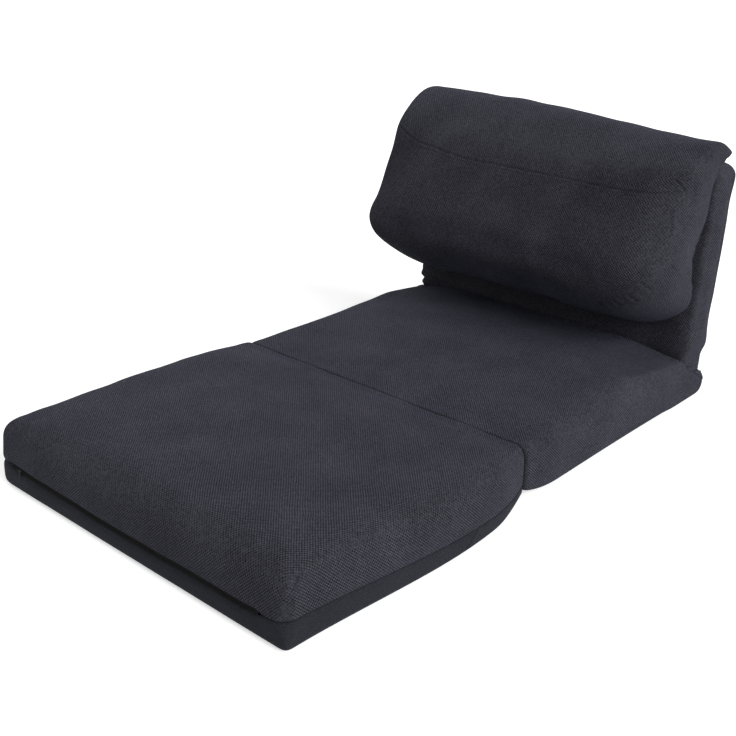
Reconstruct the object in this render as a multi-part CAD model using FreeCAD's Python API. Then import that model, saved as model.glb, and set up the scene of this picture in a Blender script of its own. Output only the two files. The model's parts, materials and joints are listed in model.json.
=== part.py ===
"""Convertible chair bed: a seat, a leg section that folds over it, and a reclining backrest with a pillow.

Millimetres, +X to the sitter's left, +Y towards the head, +Z up.
The origin is the middle of the seat's underside, on the floor.
"""
import FreeCAD, Part
import math
import os

Vector = FreeCAD.Vector

# Seat
SEAT_WIDTH = 750.0
SEAT_LENGTH = 625.0  # from the joint with the leg section to the recline pivot
SEAT_THICKNESS = 119.0
SEAT_EDGE_ROUND = 20.0
SEAT_SEAM_HEIGHT = 26.0
SEAT_FRONT_LIFT = 26.0  # how far the front lower edge curves up off the floor
SEAT_FRONT_LIFT_LENGTH = 70.0
SEAT_FRONT_LIFT_ROUND = 60.0
SEAT_CROWN = 3.0
SEAT_FLOOR_TUCK = 5.0  # how far each side draws in at the floor
SEAT_SEAM_ROUND = 30.0
SEAT_SIDE_SLOPE = 2.0  # how far each side leans in from the seam to the top

# Leg section
LEG_LENGTH = 612.0
LEG_THICKNESS = 139.0
LEG_REAR_THICKNESS = 119.0  # beside the joint, where the cushion is drawn down
LEG_SIDE_BULGE = 17.0  # how far each side swells past the side of the seat
LEG_FULLEST = 275.0  # from the joint to where the sides are widest
LEG_FULLEST_DROP = 3.0  # how much lower the top is there than at the front
LEG_FRONT_TAPER = 6.0  # how far each side draws in towards the front
LEG_EDGE_ROUND = 52.0
LEG_TOP_SETBACK = 10.0  # of the top's front edge behind the belly
LEG_BELLY_DROP = 20.0  # of the front's fullest line below half way up the upper tier
LEG_SIDE_BELLY_DROP = 14.0
LEG_BELLY_ROUND = 60.0
LEG_SIDE_SETBACK = 8.0  # of the top's side edge inside the belly
LEG_SIDE_DROP = 6.0
LEG_CROWN = 1.0
LEG_WAIST_HEIGHT = 48.0  # the seam between the upper and the lower tier
LEG_WAIST_DEPTH = 8.0
LEG_LOWER_TUCK = 3.0  # of the lower tier's fullest line inside the belly
LEG_LOWER_ROUND = 20.0
LEG_TOE_IN = 12.0  # how far the lower tier draws in at the floor
LEG_REAR_LIFT = 32.0
LEG_REAR_LIFT_LENGTH = 66.0
LEG_REAR_LIFT_ROUND = 40.0
LEG_CORNER_ROUND = 34.0
LEG_JOINT_CORNER_ROUND = 6.0
FLOOR_EDGE_ROUND = 8.0
JOINT_EDGE_ROUND = 12.0
TOP_CURVE = 3500.0  # radius of a cushion's top from front to rear
CROWN_CURVE = 9000.0  # radius of a cushion's top from side to side
SIDE_CURVE = 1500.0  # radius of a cushion's side

# Fold between the seat and the leg section
JOINT_GAP = 4.0
FOLD_AXIS_SETBACK = 4.0  # in front of the joint line
FOLD_AXIS_RISE = 3.0  # above the seat's crown
HINGE_STRIP_THICKNESS = 1.6

# Backrest
BACK_LENGTH = 475.0  # from the recline pivot to the top
BACK_THICKNESS = 86.0
BACK_LEAN = 7.0  # degrees back from upright, as photographed
BACK_TOP_ROUND = 24.0
BACK_CORNER_ROUND = 42.0
BACK_SIDE_ROUND = 21.0
BACK_FLOOR_GAP = 4.0
CREASE_GAP = 1.5

# Pillow, measured along and across the backrest
PILLOW_WIDTH = 764.0
PILLOW_BOTTOM = 117.0  # above the recline pivot, where the pillow meets the backrest
PILLOW_DEPTH = 217.0  # the greatest depth in front of the backrest
PILLOW_BELLY_HEIGHT = 79.0  # of the deepest place above the bottom
PILLOW_SEAM_HEIGHT = 337.0  # of the curved seam above the bottom
PILLOW_SEAM_DEPTH = 139.0
PILLOW_SEAM_ROUND = 60.0
PILLOW_BELLY_ROUND = 42.0
PILLOW_TOE_ROUND = 14.0  # where the pillow's bottom meets the backrest
PILLOW_CREST = 78.0  # above the backrest's top
PILLOW_CREST_SETBACK = 5.0  # in front of the backrest's face
PILLOW_CREST_ROUND = 70.0
PILLOW_BROW_DEPTH = 72.0  # of the slope between the crest and the seam
PILLOW_BROW_DROP = 19.0  # below the crest
PILLOW_BROW_ROUND = 90.0
PILLOW_OVERHANG = 50.0  # how far the pillow lies back over the backrest's top
PILLOW_REAR_HEIGHT = 47.0
PILLOW_REAR_ROUND = 30.0
PILLOW_REST_ROUND = 5.0
PILLOW_CORNER_ROUND = 58.0
PILLOW_TOP_CORNER_ROUND = 29.0
PILLOW_FRONT_CORNER_ROUND = 46.0
PILLOW_REAR_CORNER_ROUND = 20.0
PILLOW_SIDE_CROWN = 12.0
PILLOW_GAP = 2.0
PILLOW_BACK_SEAM = 14.0  # in front of the backrest's face
FLAP_THICKNESS = 1.6
FLAP_LAP = 15.0  # how far the flap runs under the pillow, ahead of the pivot plane

# Covers and padding
COVER_THICKNESS = 2.0
PADDING_GAP = 0.3
GUSSET_GAP = 1.0
GUSSET_REACH = 49.0  # behind the recline pivot, at rest
GUSSET_HEIGHT = 49.0
GUSSET_ROUND = 30.0
GUSSET_TIP_ROUND = 4.0

# Zip along the front waist of the leg section
ZIP_TAPE_HEIGHT = 22.0
ZIP_COIL_WIDTH = 5.0
ZIP_COIL_THICKNESS = 2.0
ZIP_END_SETBACK = 42.0  # from the leg section's left side
ZIP_LENGTH = 660.0
SLIDER_LENGTH = 11.0
SLIDER_WIDTH = 8.0
SLIDER_PLATE = 1.1
SLIDER_SETBACK = 14.0  # from the zip's left end
PULL_LENGTH = 22.0
PULL_WIDTH = 5.0
PULL_THICKNESS = 1.4

# Steel tube frames
TUBE_RADIUS = 9.5
TUBE_WALL = 1.2
TUBE_BEND = 60.0
CROSS_TUBE_RADIUS = 8.0
RAIL_INSET = 57.0  # from the seat's side to the middle of its rail
SEAT_RAIL_FRONT = 62.0  # behind the joint line
BACK_RAIL_TOP = 46.0  # below the backrest's top
RAIL_SETBACK = 62.0  # from the recline pivot to the end of each rail
WEB_WIDTH = 38.0
WEB_THICKNESS = 2.0
SEAT_WEB_COUNT = 4
BACK_WEB_COUNT = 3
FIT_GAP = 0.3

# Ratchet hinges
PLATE_THICKNESS = 3.0
PLATE_WIDTH = 18.0
PLATE_REACH = 132.0
PLATE_GAP = 0.5
BOSS_RADIUS = 14.0
RATCHET_RADIUS = 21.0
PLATE_CORNER_ROUND = 3.0
PLATE_DROP_ROUND = 10.0
PLATE_EYE_ROUND = 5.0
TOOTH_DEPTH = 4.0
TOOTH_ROOT = 0.4  # from a notch's middle line to its steep side, at the bottom
TOOTH_LIP = 1.2  # the same at the mouth
TOOTH_PITCH = 20.0  # degrees between stops
TOOTH_COUNT = 5
PIVOT_RADIUS = 5.0
RIVET_HEAD_RADIUS = 8.5
RIVET_HEAD_THICKNESS = 2.0
PAWL_PIVOT_FRONT = 50.0  # in front of the recline pivot
PAWL_PIVOT_DROP = 13.0
PAWL_PIN_RADIUS = 3.0
PIN_HEAD_LAP = 1.2
PAWL_EYE_RADIUS = 6.5
PAWL_WIDTH = 6.0
PAWL_TIP_GAP = 0.8
SPRING_WIRE = 1.2
SPRING_LENGTH = 4.0
BOLT_RADIUS = 3.0
BOLT_HEAD_RADIUS = 5.5
BOLT_HEAD_THICKNESS = 3.0
BOLT_SPACING = 34.0
BOLT_FIRST = 80.0  # from the recline pivot
NUT_RADIUS = 5.5
NUT_THICKNESS = 4.0
BOLT_END = 1.0  # how far a bolt stands out of its nut
HOLE_GAP = 0.2
POCKET_GAP = 3.0

# Places that follow from the sizes above
SEAT_RAIL_X = SEAT_WIDTH / 2 - RAIL_INSET
JOINT_Y = -SEAT_LENGTH / 2
PIVOT_Y = SEAT_LENGTH / 2
PIVOT_Z = BACK_THICKNESS / 2 + BACK_FLOOR_GAP
PIVOT = Vector(0, PIVOT_Y, PIVOT_Z)
BACK_HALF = BACK_THICKNESS / 2
BACK_WIDTH = SEAT_WIDTH - 2 * COVER_THICKNESS - 2 * GUSSET_GAP
BACK_RAIL_X = SEAT_RAIL_X + PLATE_THICKNESS + PLATE_GAP
SEAT_PLATE_X = SEAT_RAIL_X + TUBE_RADIUS + PLATE_THICKNESS / 2
RATCHET_X = SEAT_PLATE_X + PLATE_THICKNESS + PLATE_GAP
LEG_FRONT_Y = JOINT_Y - LEG_LENGTH
LEG_WIDTH = SEAT_WIDTH + 2 * LEG_SIDE_BULGE
FULL_ROUND = 0.999 * BACK_HALF  # the largest radius at both corners of the backrest's end
FAR = 3000.0  # past everything, for cutting
OVERCUT = 1.0
SLIVER = 1.0  # cubic millimetres


def export(name, *solids):
    """Write one sub-part as a STEP file."""
    shape = solids[0] if len(solids) == 1 else Part.makeCompound(list(solids))
    shape.exportStep("parts/" + name + ".step")


def box(x, y, z):
    """A block between the pairs of limits x, y and z."""
    corner = Vector(x[0], y[0], z[0])
    return Part.makeBox(x[1] - x[0], y[1] - y[0], z[1] - z[0], corner)


def rod(start, end, radius):
    """A round bar from start to end."""
    along = end - start
    return Part.makeCylinder(radius, along.Length, start, along)


def mirrored(shape):
    """The same piece on the other side."""
    return shape.mirror(Vector(0, 0, 0), Vector(1, 0, 0))


def corner_reaches(points):
    """How far each corner's arc reaches along its sides; arcs that would meet are made smaller."""
    count = len(points)
    halves = []
    wanted = []
    for i in range(count):
        corner, radius = points[i]
        before = (points[i - 1][0] - corner).normalize()
        after = (points[(i + 1) % count][0] - corner).normalize()
        half = before.getAngle(after) / 2
        straight = half > math.pi / 2 - 1e-6
        halves.append(half)
        wanted.append(0.0 if straight else radius / math.tan(half))
    share = [1.0] * count
    for i in range(count):
        following = (i + 1) % count
        length = points[i][0].distanceToPoint(points[following][0])
        both = wanted[i] + wanted[following]
        if both > length * 0.999:
            share[i] = min(share[i], length * 0.999 / both)
            share[following] = min(share[following], length * 0.999 / both)
    return halves, [reach * part for reach, part in zip(wanted, share)]


def rounded_wire(points):
    """A closed wire through 3-D corners, each with its own radius, as (corner, radius) pairs."""
    count = len(points)
    halves, reaches = corner_reaches(points)
    ends = []
    for i in range(count):
        corner = points[i][0]
        reach = reaches[i]
        if reach < 1e-6:
            ends.append((corner, None, corner))
            continue
        before = (points[i - 1][0] - corner).normalize()
        after = (points[(i + 1) % count][0] - corner).normalize()
        middle = (before + after).normalize()
        depth = reach * (1 - math.sin(halves[i])) / math.cos(halves[i])
        ends.append((corner + before * reach, corner + middle * depth, corner + after * reach))
    edges = []
    for i in range(count):
        start, middle, end = ends[i]
        if middle is not None:
            edges.append(Part.Arc(start, middle, end).toShape())
        following = ends[(i + 1) % count][0]
        if end.distanceToPoint(following) > 1e-6:
            edges.append(Part.makeLine(end, following))
    return Part.Wire(edges)


def inset_corners(corners, distance):
    """Move each side of a 2-D outline inwards; the corners run anticlockwise as (a, b, radius)."""
    if distance == 0:
        return corners
    count = len(corners)
    moved = []
    for i in range(count):
        a0, b0, _ = corners[i - 1]
        a1, b1, radius = corners[i]
        a2, b2, _ = corners[(i + 1) % count]
        before = Vector(a1 - a0, b1 - b0, 0).normalize()
        after = Vector(a2 - a1, b2 - b1, 0).normalize()
        turn = before.x * after.y - before.y * after.x
        normal_before = Vector(-before.y, before.x, 0)
        normal_after = Vector(-after.y, after.x, 0)
        shift = (normal_before + normal_after) * (distance / (1 + normal_before.dot(normal_after)))
        inner = radius - distance if turn > 0 else radius + distance
        moved.append((a1 + shift.x, b1 + shift.y, max(inner, 0.0) if radius > 0 else 0.0))
    return moved


def side_block(corners, distance, half_width):
    """An outline in Y and Z, inset by a distance, drawn out along X."""
    points = [(Vector(-half_width, y, z), r) for y, z, r in inset_corners(corners, distance)]
    return Part.Face(rounded_wire(points)).extrude(Vector(2 * half_width, 0, 0))


def front_block(corners, distance):
    """An outline in X and Z, inset by a distance, drawn out along Y."""
    points = [(Vector(x, -FAR, z), r) for x, z, r in inset_corners(corners, distance)]
    return Part.Face(rounded_wire(points)).extrude(Vector(0, 2 * FAR, 0))


def plan_block(corners, distance):
    """An outline in X and Y, inset by a distance, drawn out along Z."""
    points = [(Vector(x, y, -FAR), r) for x, y, r in inset_corners(corners, distance)]
    return Part.Face(rounded_wire(points)).extrude(Vector(0, 0, 2 * FAR))


def on_both_sides(corners):
    """Complete an outline from its right half, listed from the bottom up."""
    return corners + [(-a, b, r) for a, b, r in reversed(corners) if a != 0]


def bent_tube(points, bend, radius, wall=None):
    """A round tube along straight runs joined by bends of one radius."""
    edges = []
    last = points[0]
    for i in range(1, len(points) - 1):
        corner = points[i]
        before = (points[i - 1] - corner).normalize()
        after = (points[i + 1] - corner).normalize()
        half = before.getAngle(after) / 2
        reach = bend / math.tan(half)
        start = corner + before * reach
        end = corner + after * reach
        middle = corner + (before + after).normalize() * (bend / math.sin(half) - bend)
        edges.append(Part.makeLine(last, start))
        edges.append(Part.Arc(start, middle, end).toShape())
        last = end
    edges.append(Part.makeLine(last, points[-1]))
    path = Part.Wire(edges)
    along = points[1] - points[0]
    outer = Part.Wire(Part.makeCircle(radius, points[0], along))
    tube = path.makePipeShell([outer], True, False)
    if wall is None:
        return tube
    bore = Part.Wire(Part.makeCircle(radius - wall, points[0], along))
    return tube.cut(path.makePipeShell([bore], True, False))


def leaned(shape):
    """Turn a piece that was drawn on the upright backrest to its rest lean."""
    turned = shape.copy()
    turned.rotate(PIVOT, Vector(1, 0, 0), -BACK_LEAN)
    return turned


def back_point(across, along, x=0.0):
    """A place on the upright backrest: across from its middle plane, along from the pivot."""
    return Vector(x, PIVOT_Y + across, PIVOT_Z + along)


# Cushion forms

def leg_form(distance):
    """The leg section's outer form, inset by a distance: crowned, in two tiers, drawn in at the waist."""
    rear = JOINT_Y - JOINT_GAP / 2
    front = LEG_FRONT_Y
    waist = front + LEG_WAIST_DEPTH
    lower_middle = LEG_WAIST_HEIGHT / 2
    belly = (LEG_WAIST_HEIGHT + LEG_THICKNESS) / 2
    fullest = rear - LEG_FULLEST
    side = [
        (front + LEG_TOE_IN, 0, FLOOR_EDGE_ROUND),
        (rear - LEG_REAR_LIFT_LENGTH, 0, LEG_REAR_LIFT_ROUND),
        (rear, LEG_REAR_LIFT, JOINT_EDGE_ROUND),
        (rear, LEG_REAR_THICKNESS, SEAT_EDGE_ROUND),
        (fullest, LEG_THICKNESS - LEG_FULLEST_DROP, TOP_CURVE),
        (front + LEG_TOP_SETBACK, LEG_THICKNESS, LEG_EDGE_ROUND),
        (front, belly - LEG_BELLY_DROP, LEG_BELLY_ROUND),
        (waist, LEG_WAIST_HEIGHT, 0),
        (front + LEG_LOWER_TUCK, lower_middle, LEG_LOWER_ROUND),
    ]
    half = LEG_WIDTH / 2
    across = on_both_sides([
        (half - LEG_TOE_IN, 0, FLOOR_EDGE_ROUND),
        (half - LEG_LOWER_TUCK, lower_middle, LEG_LOWER_ROUND),
        (half - LEG_WAIST_DEPTH, LEG_WAIST_HEIGHT, 0),
        (half, belly - LEG_SIDE_BELLY_DROP, LEG_BELLY_ROUND),
        (half - LEG_SIDE_SETBACK, LEG_THICKNESS - LEG_SIDE_DROP, LEG_EDGE_ROUND - LEG_SIDE_DROP),
        (0, LEG_THICKNESS + LEG_CROWN, CROWN_CURVE),
    ])
    joint_half = SEAT_WIDTH / 2
    front_half = half - LEG_FRONT_TAPER
    plan = [
        (-front_half, front, LEG_CORNER_ROUND),
        (front_half, front, LEG_CORNER_ROUND),
        (half, fullest, SIDE_CURVE),
        (joint_half, rear, LEG_JOINT_CORNER_ROUND),
        (-joint_half, rear, LEG_JOINT_CORNER_ROUND),
        (-half, fullest, SIDE_CURVE),
    ]
    body = side_block(side, distance, FAR)
    body = body.common(front_block(across, distance))
    return body.common(plan_block(plan, distance))


def seat_form(distance):
    """The seat's outer form, inset by a distance, hollowed at the rear for the backrest's round end."""
    front = JOINT_Y + JOINT_GAP / 2
    lean = math.radians(BACK_LEAN)
    reach = BACK_HALF + CREASE_GAP
    tangent_y = PIVOT_Y - reach * math.cos(lean)
    tangent_z = PIVOT_Z + reach * math.sin(lean)
    top_y = tangent_y + (SEAT_THICKNESS - tangent_z) * math.tan(lean)
    side = [
        (front, SEAT_FRONT_LIFT, JOINT_EDGE_ROUND),
        (front + SEAT_FRONT_LIFT_LENGTH, 0, SEAT_FRONT_LIFT_ROUND),
        (PIVOT_Y + 2 * COVER_THICKNESS, 0, 0),
        (PIVOT_Y + 2 * COVER_THICKNESS, tangent_z, 0),
        (tangent_y, tangent_z, 0),
        (top_y, SEAT_THICKNESS - SEAT_CROWN, SEAT_EDGE_ROUND / 2),
        (JOINT_Y + SEAT_LENGTH / 2, SEAT_THICKNESS, CROWN_CURVE),
        (front, SEAT_THICKNESS - SEAT_CROWN, SEAT_EDGE_ROUND),
    ]
    half = SEAT_WIDTH / 2
    across = on_both_sides([
        (half - SEAT_FLOOR_TUCK, 0, FLOOR_EDGE_ROUND),
        (half, SEAT_SEAM_HEIGHT, SEAT_SEAM_ROUND),
        (half - SEAT_SIDE_SLOPE, SEAT_THICKNESS - SEAT_CROWN, SEAT_EDGE_ROUND),
        (0, SEAT_THICKNESS + SEAT_CROWN, CROWN_CURVE),
    ])
    body = side_block(side, distance, FAR).common(front_block(across, distance))
    hollow = rod(Vector(-FAR, PIVOT_Y, PIVOT_Z), Vector(FAR, PIVOT_Y, PIVOT_Z), reach + distance)
    return body.cut(hollow)


def back_form(distance):
    """The backrest's outer form on the upright backrest, inset by a distance; its lower end is round."""
    side = [
        (PIVOT_Y - BACK_HALF, PIVOT_Z - BACK_HALF, FULL_ROUND),
        (PIVOT_Y + BACK_HALF, PIVOT_Z - BACK_HALF, FULL_ROUND),
        (PIVOT_Y + BACK_HALF, PIVOT_Z + BACK_LENGTH, BACK_TOP_ROUND),
        (PIVOT_Y - BACK_HALF, PIVOT_Z + BACK_LENGTH, BACK_TOP_ROUND),
    ]
    half = BACK_WIDTH / 2
    across = on_both_sides([
        (half, PIVOT_Z - FAR, 0),
        (half, PIVOT_Z + BACK_LENGTH, BACK_CORNER_ROUND),
    ])
    plan = [
        (-half, PIVOT_Y - BACK_HALF, BACK_SIDE_ROUND),
        (half, PIVOT_Y - BACK_HALF, BACK_SIDE_ROUND),
        (half, PIVOT_Y + BACK_HALF, BACK_SIDE_ROUND),
        (-half, PIVOT_Y + BACK_HALF, BACK_SIDE_ROUND),
    ]
    body = side_block(side, distance, FAR).common(front_block(across, distance))
    return body.common(plan_block(plan, distance))


def pillow_form(distance):
    """The pillow's outer form on the upright backrest: a drop that hangs in front and lies over the top."""
    face = PIVOT_Y - BACK_HALF - PILLOW_GAP
    bottom = PIVOT_Z + PILLOW_BOTTOM
    top = PIVOT_Z + BACK_LENGTH + PILLOW_GAP
    crest = PIVOT_Z + BACK_LENGTH + PILLOW_CREST
    side = [
        (face, bottom, PILLOW_TOE_ROUND),
        (face, top, PILLOW_REST_ROUND),
        (face + PILLOW_OVERHANG, top, PILLOW_REST_ROUND),
        (face + PILLOW_OVERHANG, top + PILLOW_REAR_HEIGHT, PILLOW_REAR_ROUND),
        (face - PILLOW_CREST_SETBACK, crest, PILLOW_CREST_ROUND),
        (face - PILLOW_BROW_DEPTH, crest - PILLOW_BROW_DROP, PILLOW_BROW_ROUND),
        (face - PILLOW_SEAM_DEPTH, bottom + PILLOW_SEAM_HEIGHT, PILLOW_SEAM_ROUND),
        (face - PILLOW_DEPTH, bottom + PILLOW_BELLY_HEIGHT, PILLOW_BELLY_ROUND),
    ]
    half = PILLOW_WIDTH / 2
    waist = half - PILLOW_SIDE_CROWN
    middle = (bottom + crest) / 2
    across = on_both_sides([
        (waist, bottom, PILLOW_CORNER_ROUND),
        (half, middle, SIDE_CURVE),
        (waist, crest, PILLOW_TOP_CORNER_ROUND),
    ])
    plan = [
        (-waist, face - PILLOW_DEPTH, PILLOW_FRONT_CORNER_ROUND),
        (waist, face - PILLOW_DEPTH, PILLOW_FRONT_CORNER_ROUND),
        (half, face + PILLOW_OVERHANG, PILLOW_REAR_CORNER_ROUND),
        (-half, face + PILLOW_OVERHANG, PILLOW_REAR_CORNER_ROUND),
    ]
    body = side_block(side, distance, FAR).common(front_block(across, distance))
    return body.common(plan_block(plan, distance))


# Steel frames

def seat_rail_path():
    """The seat frame's U, from one rear end round the front to the other."""
    rear = PIVOT_Y - RAIL_SETBACK
    front = JOINT_Y + SEAT_RAIL_FRONT
    return [
        Vector(SEAT_RAIL_X, rear, PIVOT_Z),
        Vector(SEAT_RAIL_X, front, PIVOT_Z),
        Vector(-SEAT_RAIL_X, front, PIVOT_Z),
        Vector(-SEAT_RAIL_X, rear, PIVOT_Z),
    ]


def back_rail_path():
    """The backrest frame's inverted U on the upright backrest."""
    top = BACK_LENGTH - BACK_RAIL_TOP
    return [
        back_point(0, RAIL_SETBACK, BACK_RAIL_X),
        back_point(0, top, BACK_RAIL_X),
        back_point(0, top, -BACK_RAIL_X),
        back_point(0, RAIL_SETBACK, -BACK_RAIL_X),
    ]


def bolt_places():
    """Distances of the hinge bolts from the recline pivot."""
    return [BOLT_FIRST, BOLT_FIRST + BOLT_SPACING]


def seat_bolt_axis(distance, side):
    """Where a hinge bolt crosses the seat rail, from outside to inside."""
    outer = Vector(side * FAR, PIVOT_Y - distance, PIVOT_Z)
    return outer, Vector(0, PIVOT_Y - distance, PIVOT_Z)


def back_bolt_axis(distance, side):
    """Where a hinge bolt crosses the upright backrest's rail."""
    return back_point(0, distance, side * FAR), back_point(0, distance, 0)


def bolt_holes(axis_of):
    """Bores for the hinge bolts, one per bolt and side, on the line that axis_of gives."""
    radius = BOLT_RADIUS + HOLE_GAP
    return [rod(*axis_of(distance, side), radius) for distance in bolt_places() for side in (1, -1)]


def cross_tubes(centres, half_length, rail):
    """Straight cross tubes between two rails, cut to fit the rails' round sides."""
    tubes = []
    for centre in centres:
        reach = Vector(half_length, 0, 0)
        tube = rod(centre - reach, centre + reach, CROSS_TUBE_RADIUS)
        tube = tube.cut(rod(centre - reach, centre + reach, CROSS_TUBE_RADIUS - TUBE_WALL))
        tubes.append(tube.cut(rail))
    return tubes


def web_straps(centres, rail_x, across, along):
    """Flat elastic straps with a loop round each rail; across is their thin direction."""
    straps = []
    for centre in centres:
        half = along * (WEB_WIDTH / 2)
        offset = across * (WEB_THICKNESS / 2)
        inner = TUBE_RADIUS + FIT_GAP
        outer = inner + WEB_THICKNESS
        start = centre - half - offset - Vector(rail_x, 0, 0)
        corners = [start, start + offset * 2, start + offset * 2 + Vector(2 * rail_x, 0, 0)]
        corners.append(start + Vector(2 * rail_x, 0, 0))
        strap = Part.Face(Part.makePolygon(corners + [start])).extrude(half * 2)
        for side in (1, -1):
            middle = centre + Vector(side * rail_x, 0, 0)
            strap = strap.fuse(rod(middle - half, middle + half, outer))
        for side in (1, -1):
            middle = centre + Vector(side * rail_x, 0, 0)
            strap = strap.cut(rod(middle - half * 2, middle + half * 2, inner))
        straps.append(strap)
    return straps


def spread(start, end, count):
    """Evenly spaced places between two ends, both left free."""
    return [start + (end - start) * (i + 1) / (count + 1) for i in range(count)]


def seat_cross_centres():
    """The seat's two cross tubes: one half way, one just ahead of the hinge plates."""
    front = JOINT_Y + SEAT_RAIL_FRONT
    rear = PIVOT_Y - PLATE_REACH - 2 * TUBE_RADIUS
    return [Vector(0, (front + rear) / 2, PIVOT_Z), Vector(0, rear, PIVOT_Z)]


def back_cross_centres():
    """The backrest's one cross tube, above the hinge plates."""
    return [back_point(0, PLATE_REACH + 2 * TUBE_RADIUS)]


def seat_web_centres():
    """Straps in front of and behind the middle cross tube."""
    front = JOINT_Y + SEAT_RAIL_FRONT + TUBE_BEND
    middle, rear = [c.y for c in seat_cross_centres()]
    half = SEAT_WEB_COUNT // 2
    clear = CROSS_TUBE_RADIUS
    places = spread(front, middle - clear, half)
    places += spread(middle + clear, rear - clear, SEAT_WEB_COUNT - half)
    return [Vector(0, y, PIVOT_Z) for y in places]


def back_web_centres():
    """Straps between the backrest's cross tube and the bends at its top."""
    start = back_cross_centres()[0].z + CROSS_TUBE_RADIUS
    end = PIVOT_Z + BACK_LENGTH - BACK_RAIL_TOP - TUBE_BEND
    return [Vector(0, PIVOT_Y, z) for z in spread(start, end, BACK_WEB_COUNT)]


# Ratchet hinges, drawn on the left side and mirrored

def plate_slab(x, outline):
    """A flat plate from an outline in Y and Z, centred on x."""
    points = [(Vector(x - PLATE_THICKNESS / 2, y, z), r) for y, z, r in outline]
    return Part.Face(rounded_wire(points)).extrude(Vector(PLATE_THICKNESS, 0, 0))


def across_plate(x, centre, radius, beyond=0.0):
    """A round bar through a plate at x, reaching further by some distance on each side."""
    start = Vector(x - PLATE_THICKNESS / 2 - beyond, centre.y, centre.z)
    end = Vector(x + PLATE_THICKNESS / 2 + beyond, centre.y, centre.z)
    return rod(start, end, radius)


def pawl_centre():
    """The pawl's pivot, ahead of and below the recline pivot."""
    return Vector(0, PIVOT_Y - PAWL_PIVOT_FRONT, PIVOT_Z - PAWL_PIVOT_DROP)


def seat_plate():
    """The seat's hinge plate: an arm on the rail's outer side with a boss round the pivot."""
    half = PLATE_WIDTH / 2
    pawl = pawl_centre()
    arm = plate_slab(SEAT_PLATE_X, [
        (PIVOT_Y - PLATE_REACH, PIVOT_Z - half, PLATE_CORNER_ROUND),
        (pawl.y - PAWL_EYE_RADIUS * 2, PIVOT_Z - half, PLATE_DROP_ROUND),
        (pawl.y - PAWL_EYE_RADIUS, pawl.z - PAWL_EYE_RADIUS, PLATE_EYE_ROUND),
        (pawl.y + PAWL_EYE_RADIUS, pawl.z - PAWL_EYE_RADIUS, PLATE_EYE_ROUND),
        (PIVOT_Y, PIVOT_Z - half, 0),
        (PIVOT_Y, PIVOT_Z + half, 0),
        (PIVOT_Y - PLATE_REACH, PIVOT_Z + half, PLATE_CORNER_ROUND),
    ])
    plate = arm.fuse(across_plate(SEAT_PLATE_X, PIVOT, BOSS_RADIUS)).removeSplitter()
    plate = plate.cut(across_plate(SEAT_PLATE_X, PIVOT, PIVOT_RADIUS + HOLE_GAP))
    plate = plate.cut(across_plate(SEAT_PLATE_X, pawl, PAWL_PIN_RADIUS + HOLE_GAP))
    for hole in bolt_holes(seat_bolt_axis):
        plate = plate.cut(hole)
    return plate


def notch_angle(index):
    """The direction of a ratchet notch on the upright backrest, in degrees from +Y towards +Z."""
    return pawl_tip_angle() + BACK_LEAN + index * TOOTH_PITCH


def pawl_tip_angle():
    """The direction from the recline pivot to the pawl's tip."""
    return 180.0 + math.degrees(math.atan2(PAWL_PIVOT_DROP, PAWL_PIVOT_FRONT)) / 2


def ratchet_plate():
    """The backrest's hinge plate on the upright backrest: an arm and a toothed round end."""
    half = PLATE_WIDTH / 2
    arm = plate_slab(RATCHET_X, [
        (PIVOT_Y - half, PIVOT_Z, 0),
        (PIVOT_Y + half, PIVOT_Z, 0),
        (PIVOT_Y + half, PIVOT_Z + PLATE_REACH, PLATE_CORNER_ROUND),
        (PIVOT_Y - half, PIVOT_Z + PLATE_REACH, PLATE_CORNER_ROUND),
    ])
    plate = arm.fuse(across_plate(RATCHET_X, PIVOT, RATCHET_RADIUS)).removeSplitter()
    for index in range(TOOTH_COUNT):
        angle = math.radians(notch_angle(index))
        out = Vector(0, math.cos(angle), math.sin(angle))
        turn = Vector(0, -out.z, out.y)
        root = PIVOT + out * (RATCHET_RADIUS - TOOTH_DEPTH)
        lip = PIVOT + out * (RATCHET_RADIUS + OVERCUT)
        shift = Vector(RATCHET_X - PLATE_THICKNESS, 0, 0)
        bottom = root - turn * TOOTH_ROOT
        corners = [bottom, lip - turn * TOOTH_LIP, lip + turn * TOOTH_DEPTH, bottom]
        wedge = Part.Face(Part.makePolygon([c + shift for c in corners]))
        plate = plate.cut(wedge.extrude(Vector(2 * PLATE_THICKNESS, 0, 0)))
    plate = plate.cut(across_plate(RATCHET_X, PIVOT, PIVOT_RADIUS + HOLE_GAP))
    for hole in bolt_holes(back_bolt_axis):
        plate = plate.cut(hole)
    return plate


def pivot_rivet():
    """The rivet that both hinge plates turn on, with a head on each side."""
    inside = SEAT_PLATE_X - PLATE_THICKNESS / 2 - HOLE_GAP
    outside = RATCHET_X + PLATE_THICKNESS / 2 + HOLE_GAP
    shank = rod(Vector(inside, PIVOT_Y, PIVOT_Z), Vector(outside, PIVOT_Y, PIVOT_Z), PIVOT_RADIUS)
    for start, end in ((inside - RIVET_HEAD_THICKNESS, inside), (outside, outside + RIVET_HEAD_THICKNESS)):
        head = rod(Vector(start, PIVOT_Y, PIVOT_Z), Vector(end, PIVOT_Y, PIVOT_Z), RIVET_HEAD_RADIUS)
        shank = shank.fuse(head)
    return shank.removeSplitter()


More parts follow.
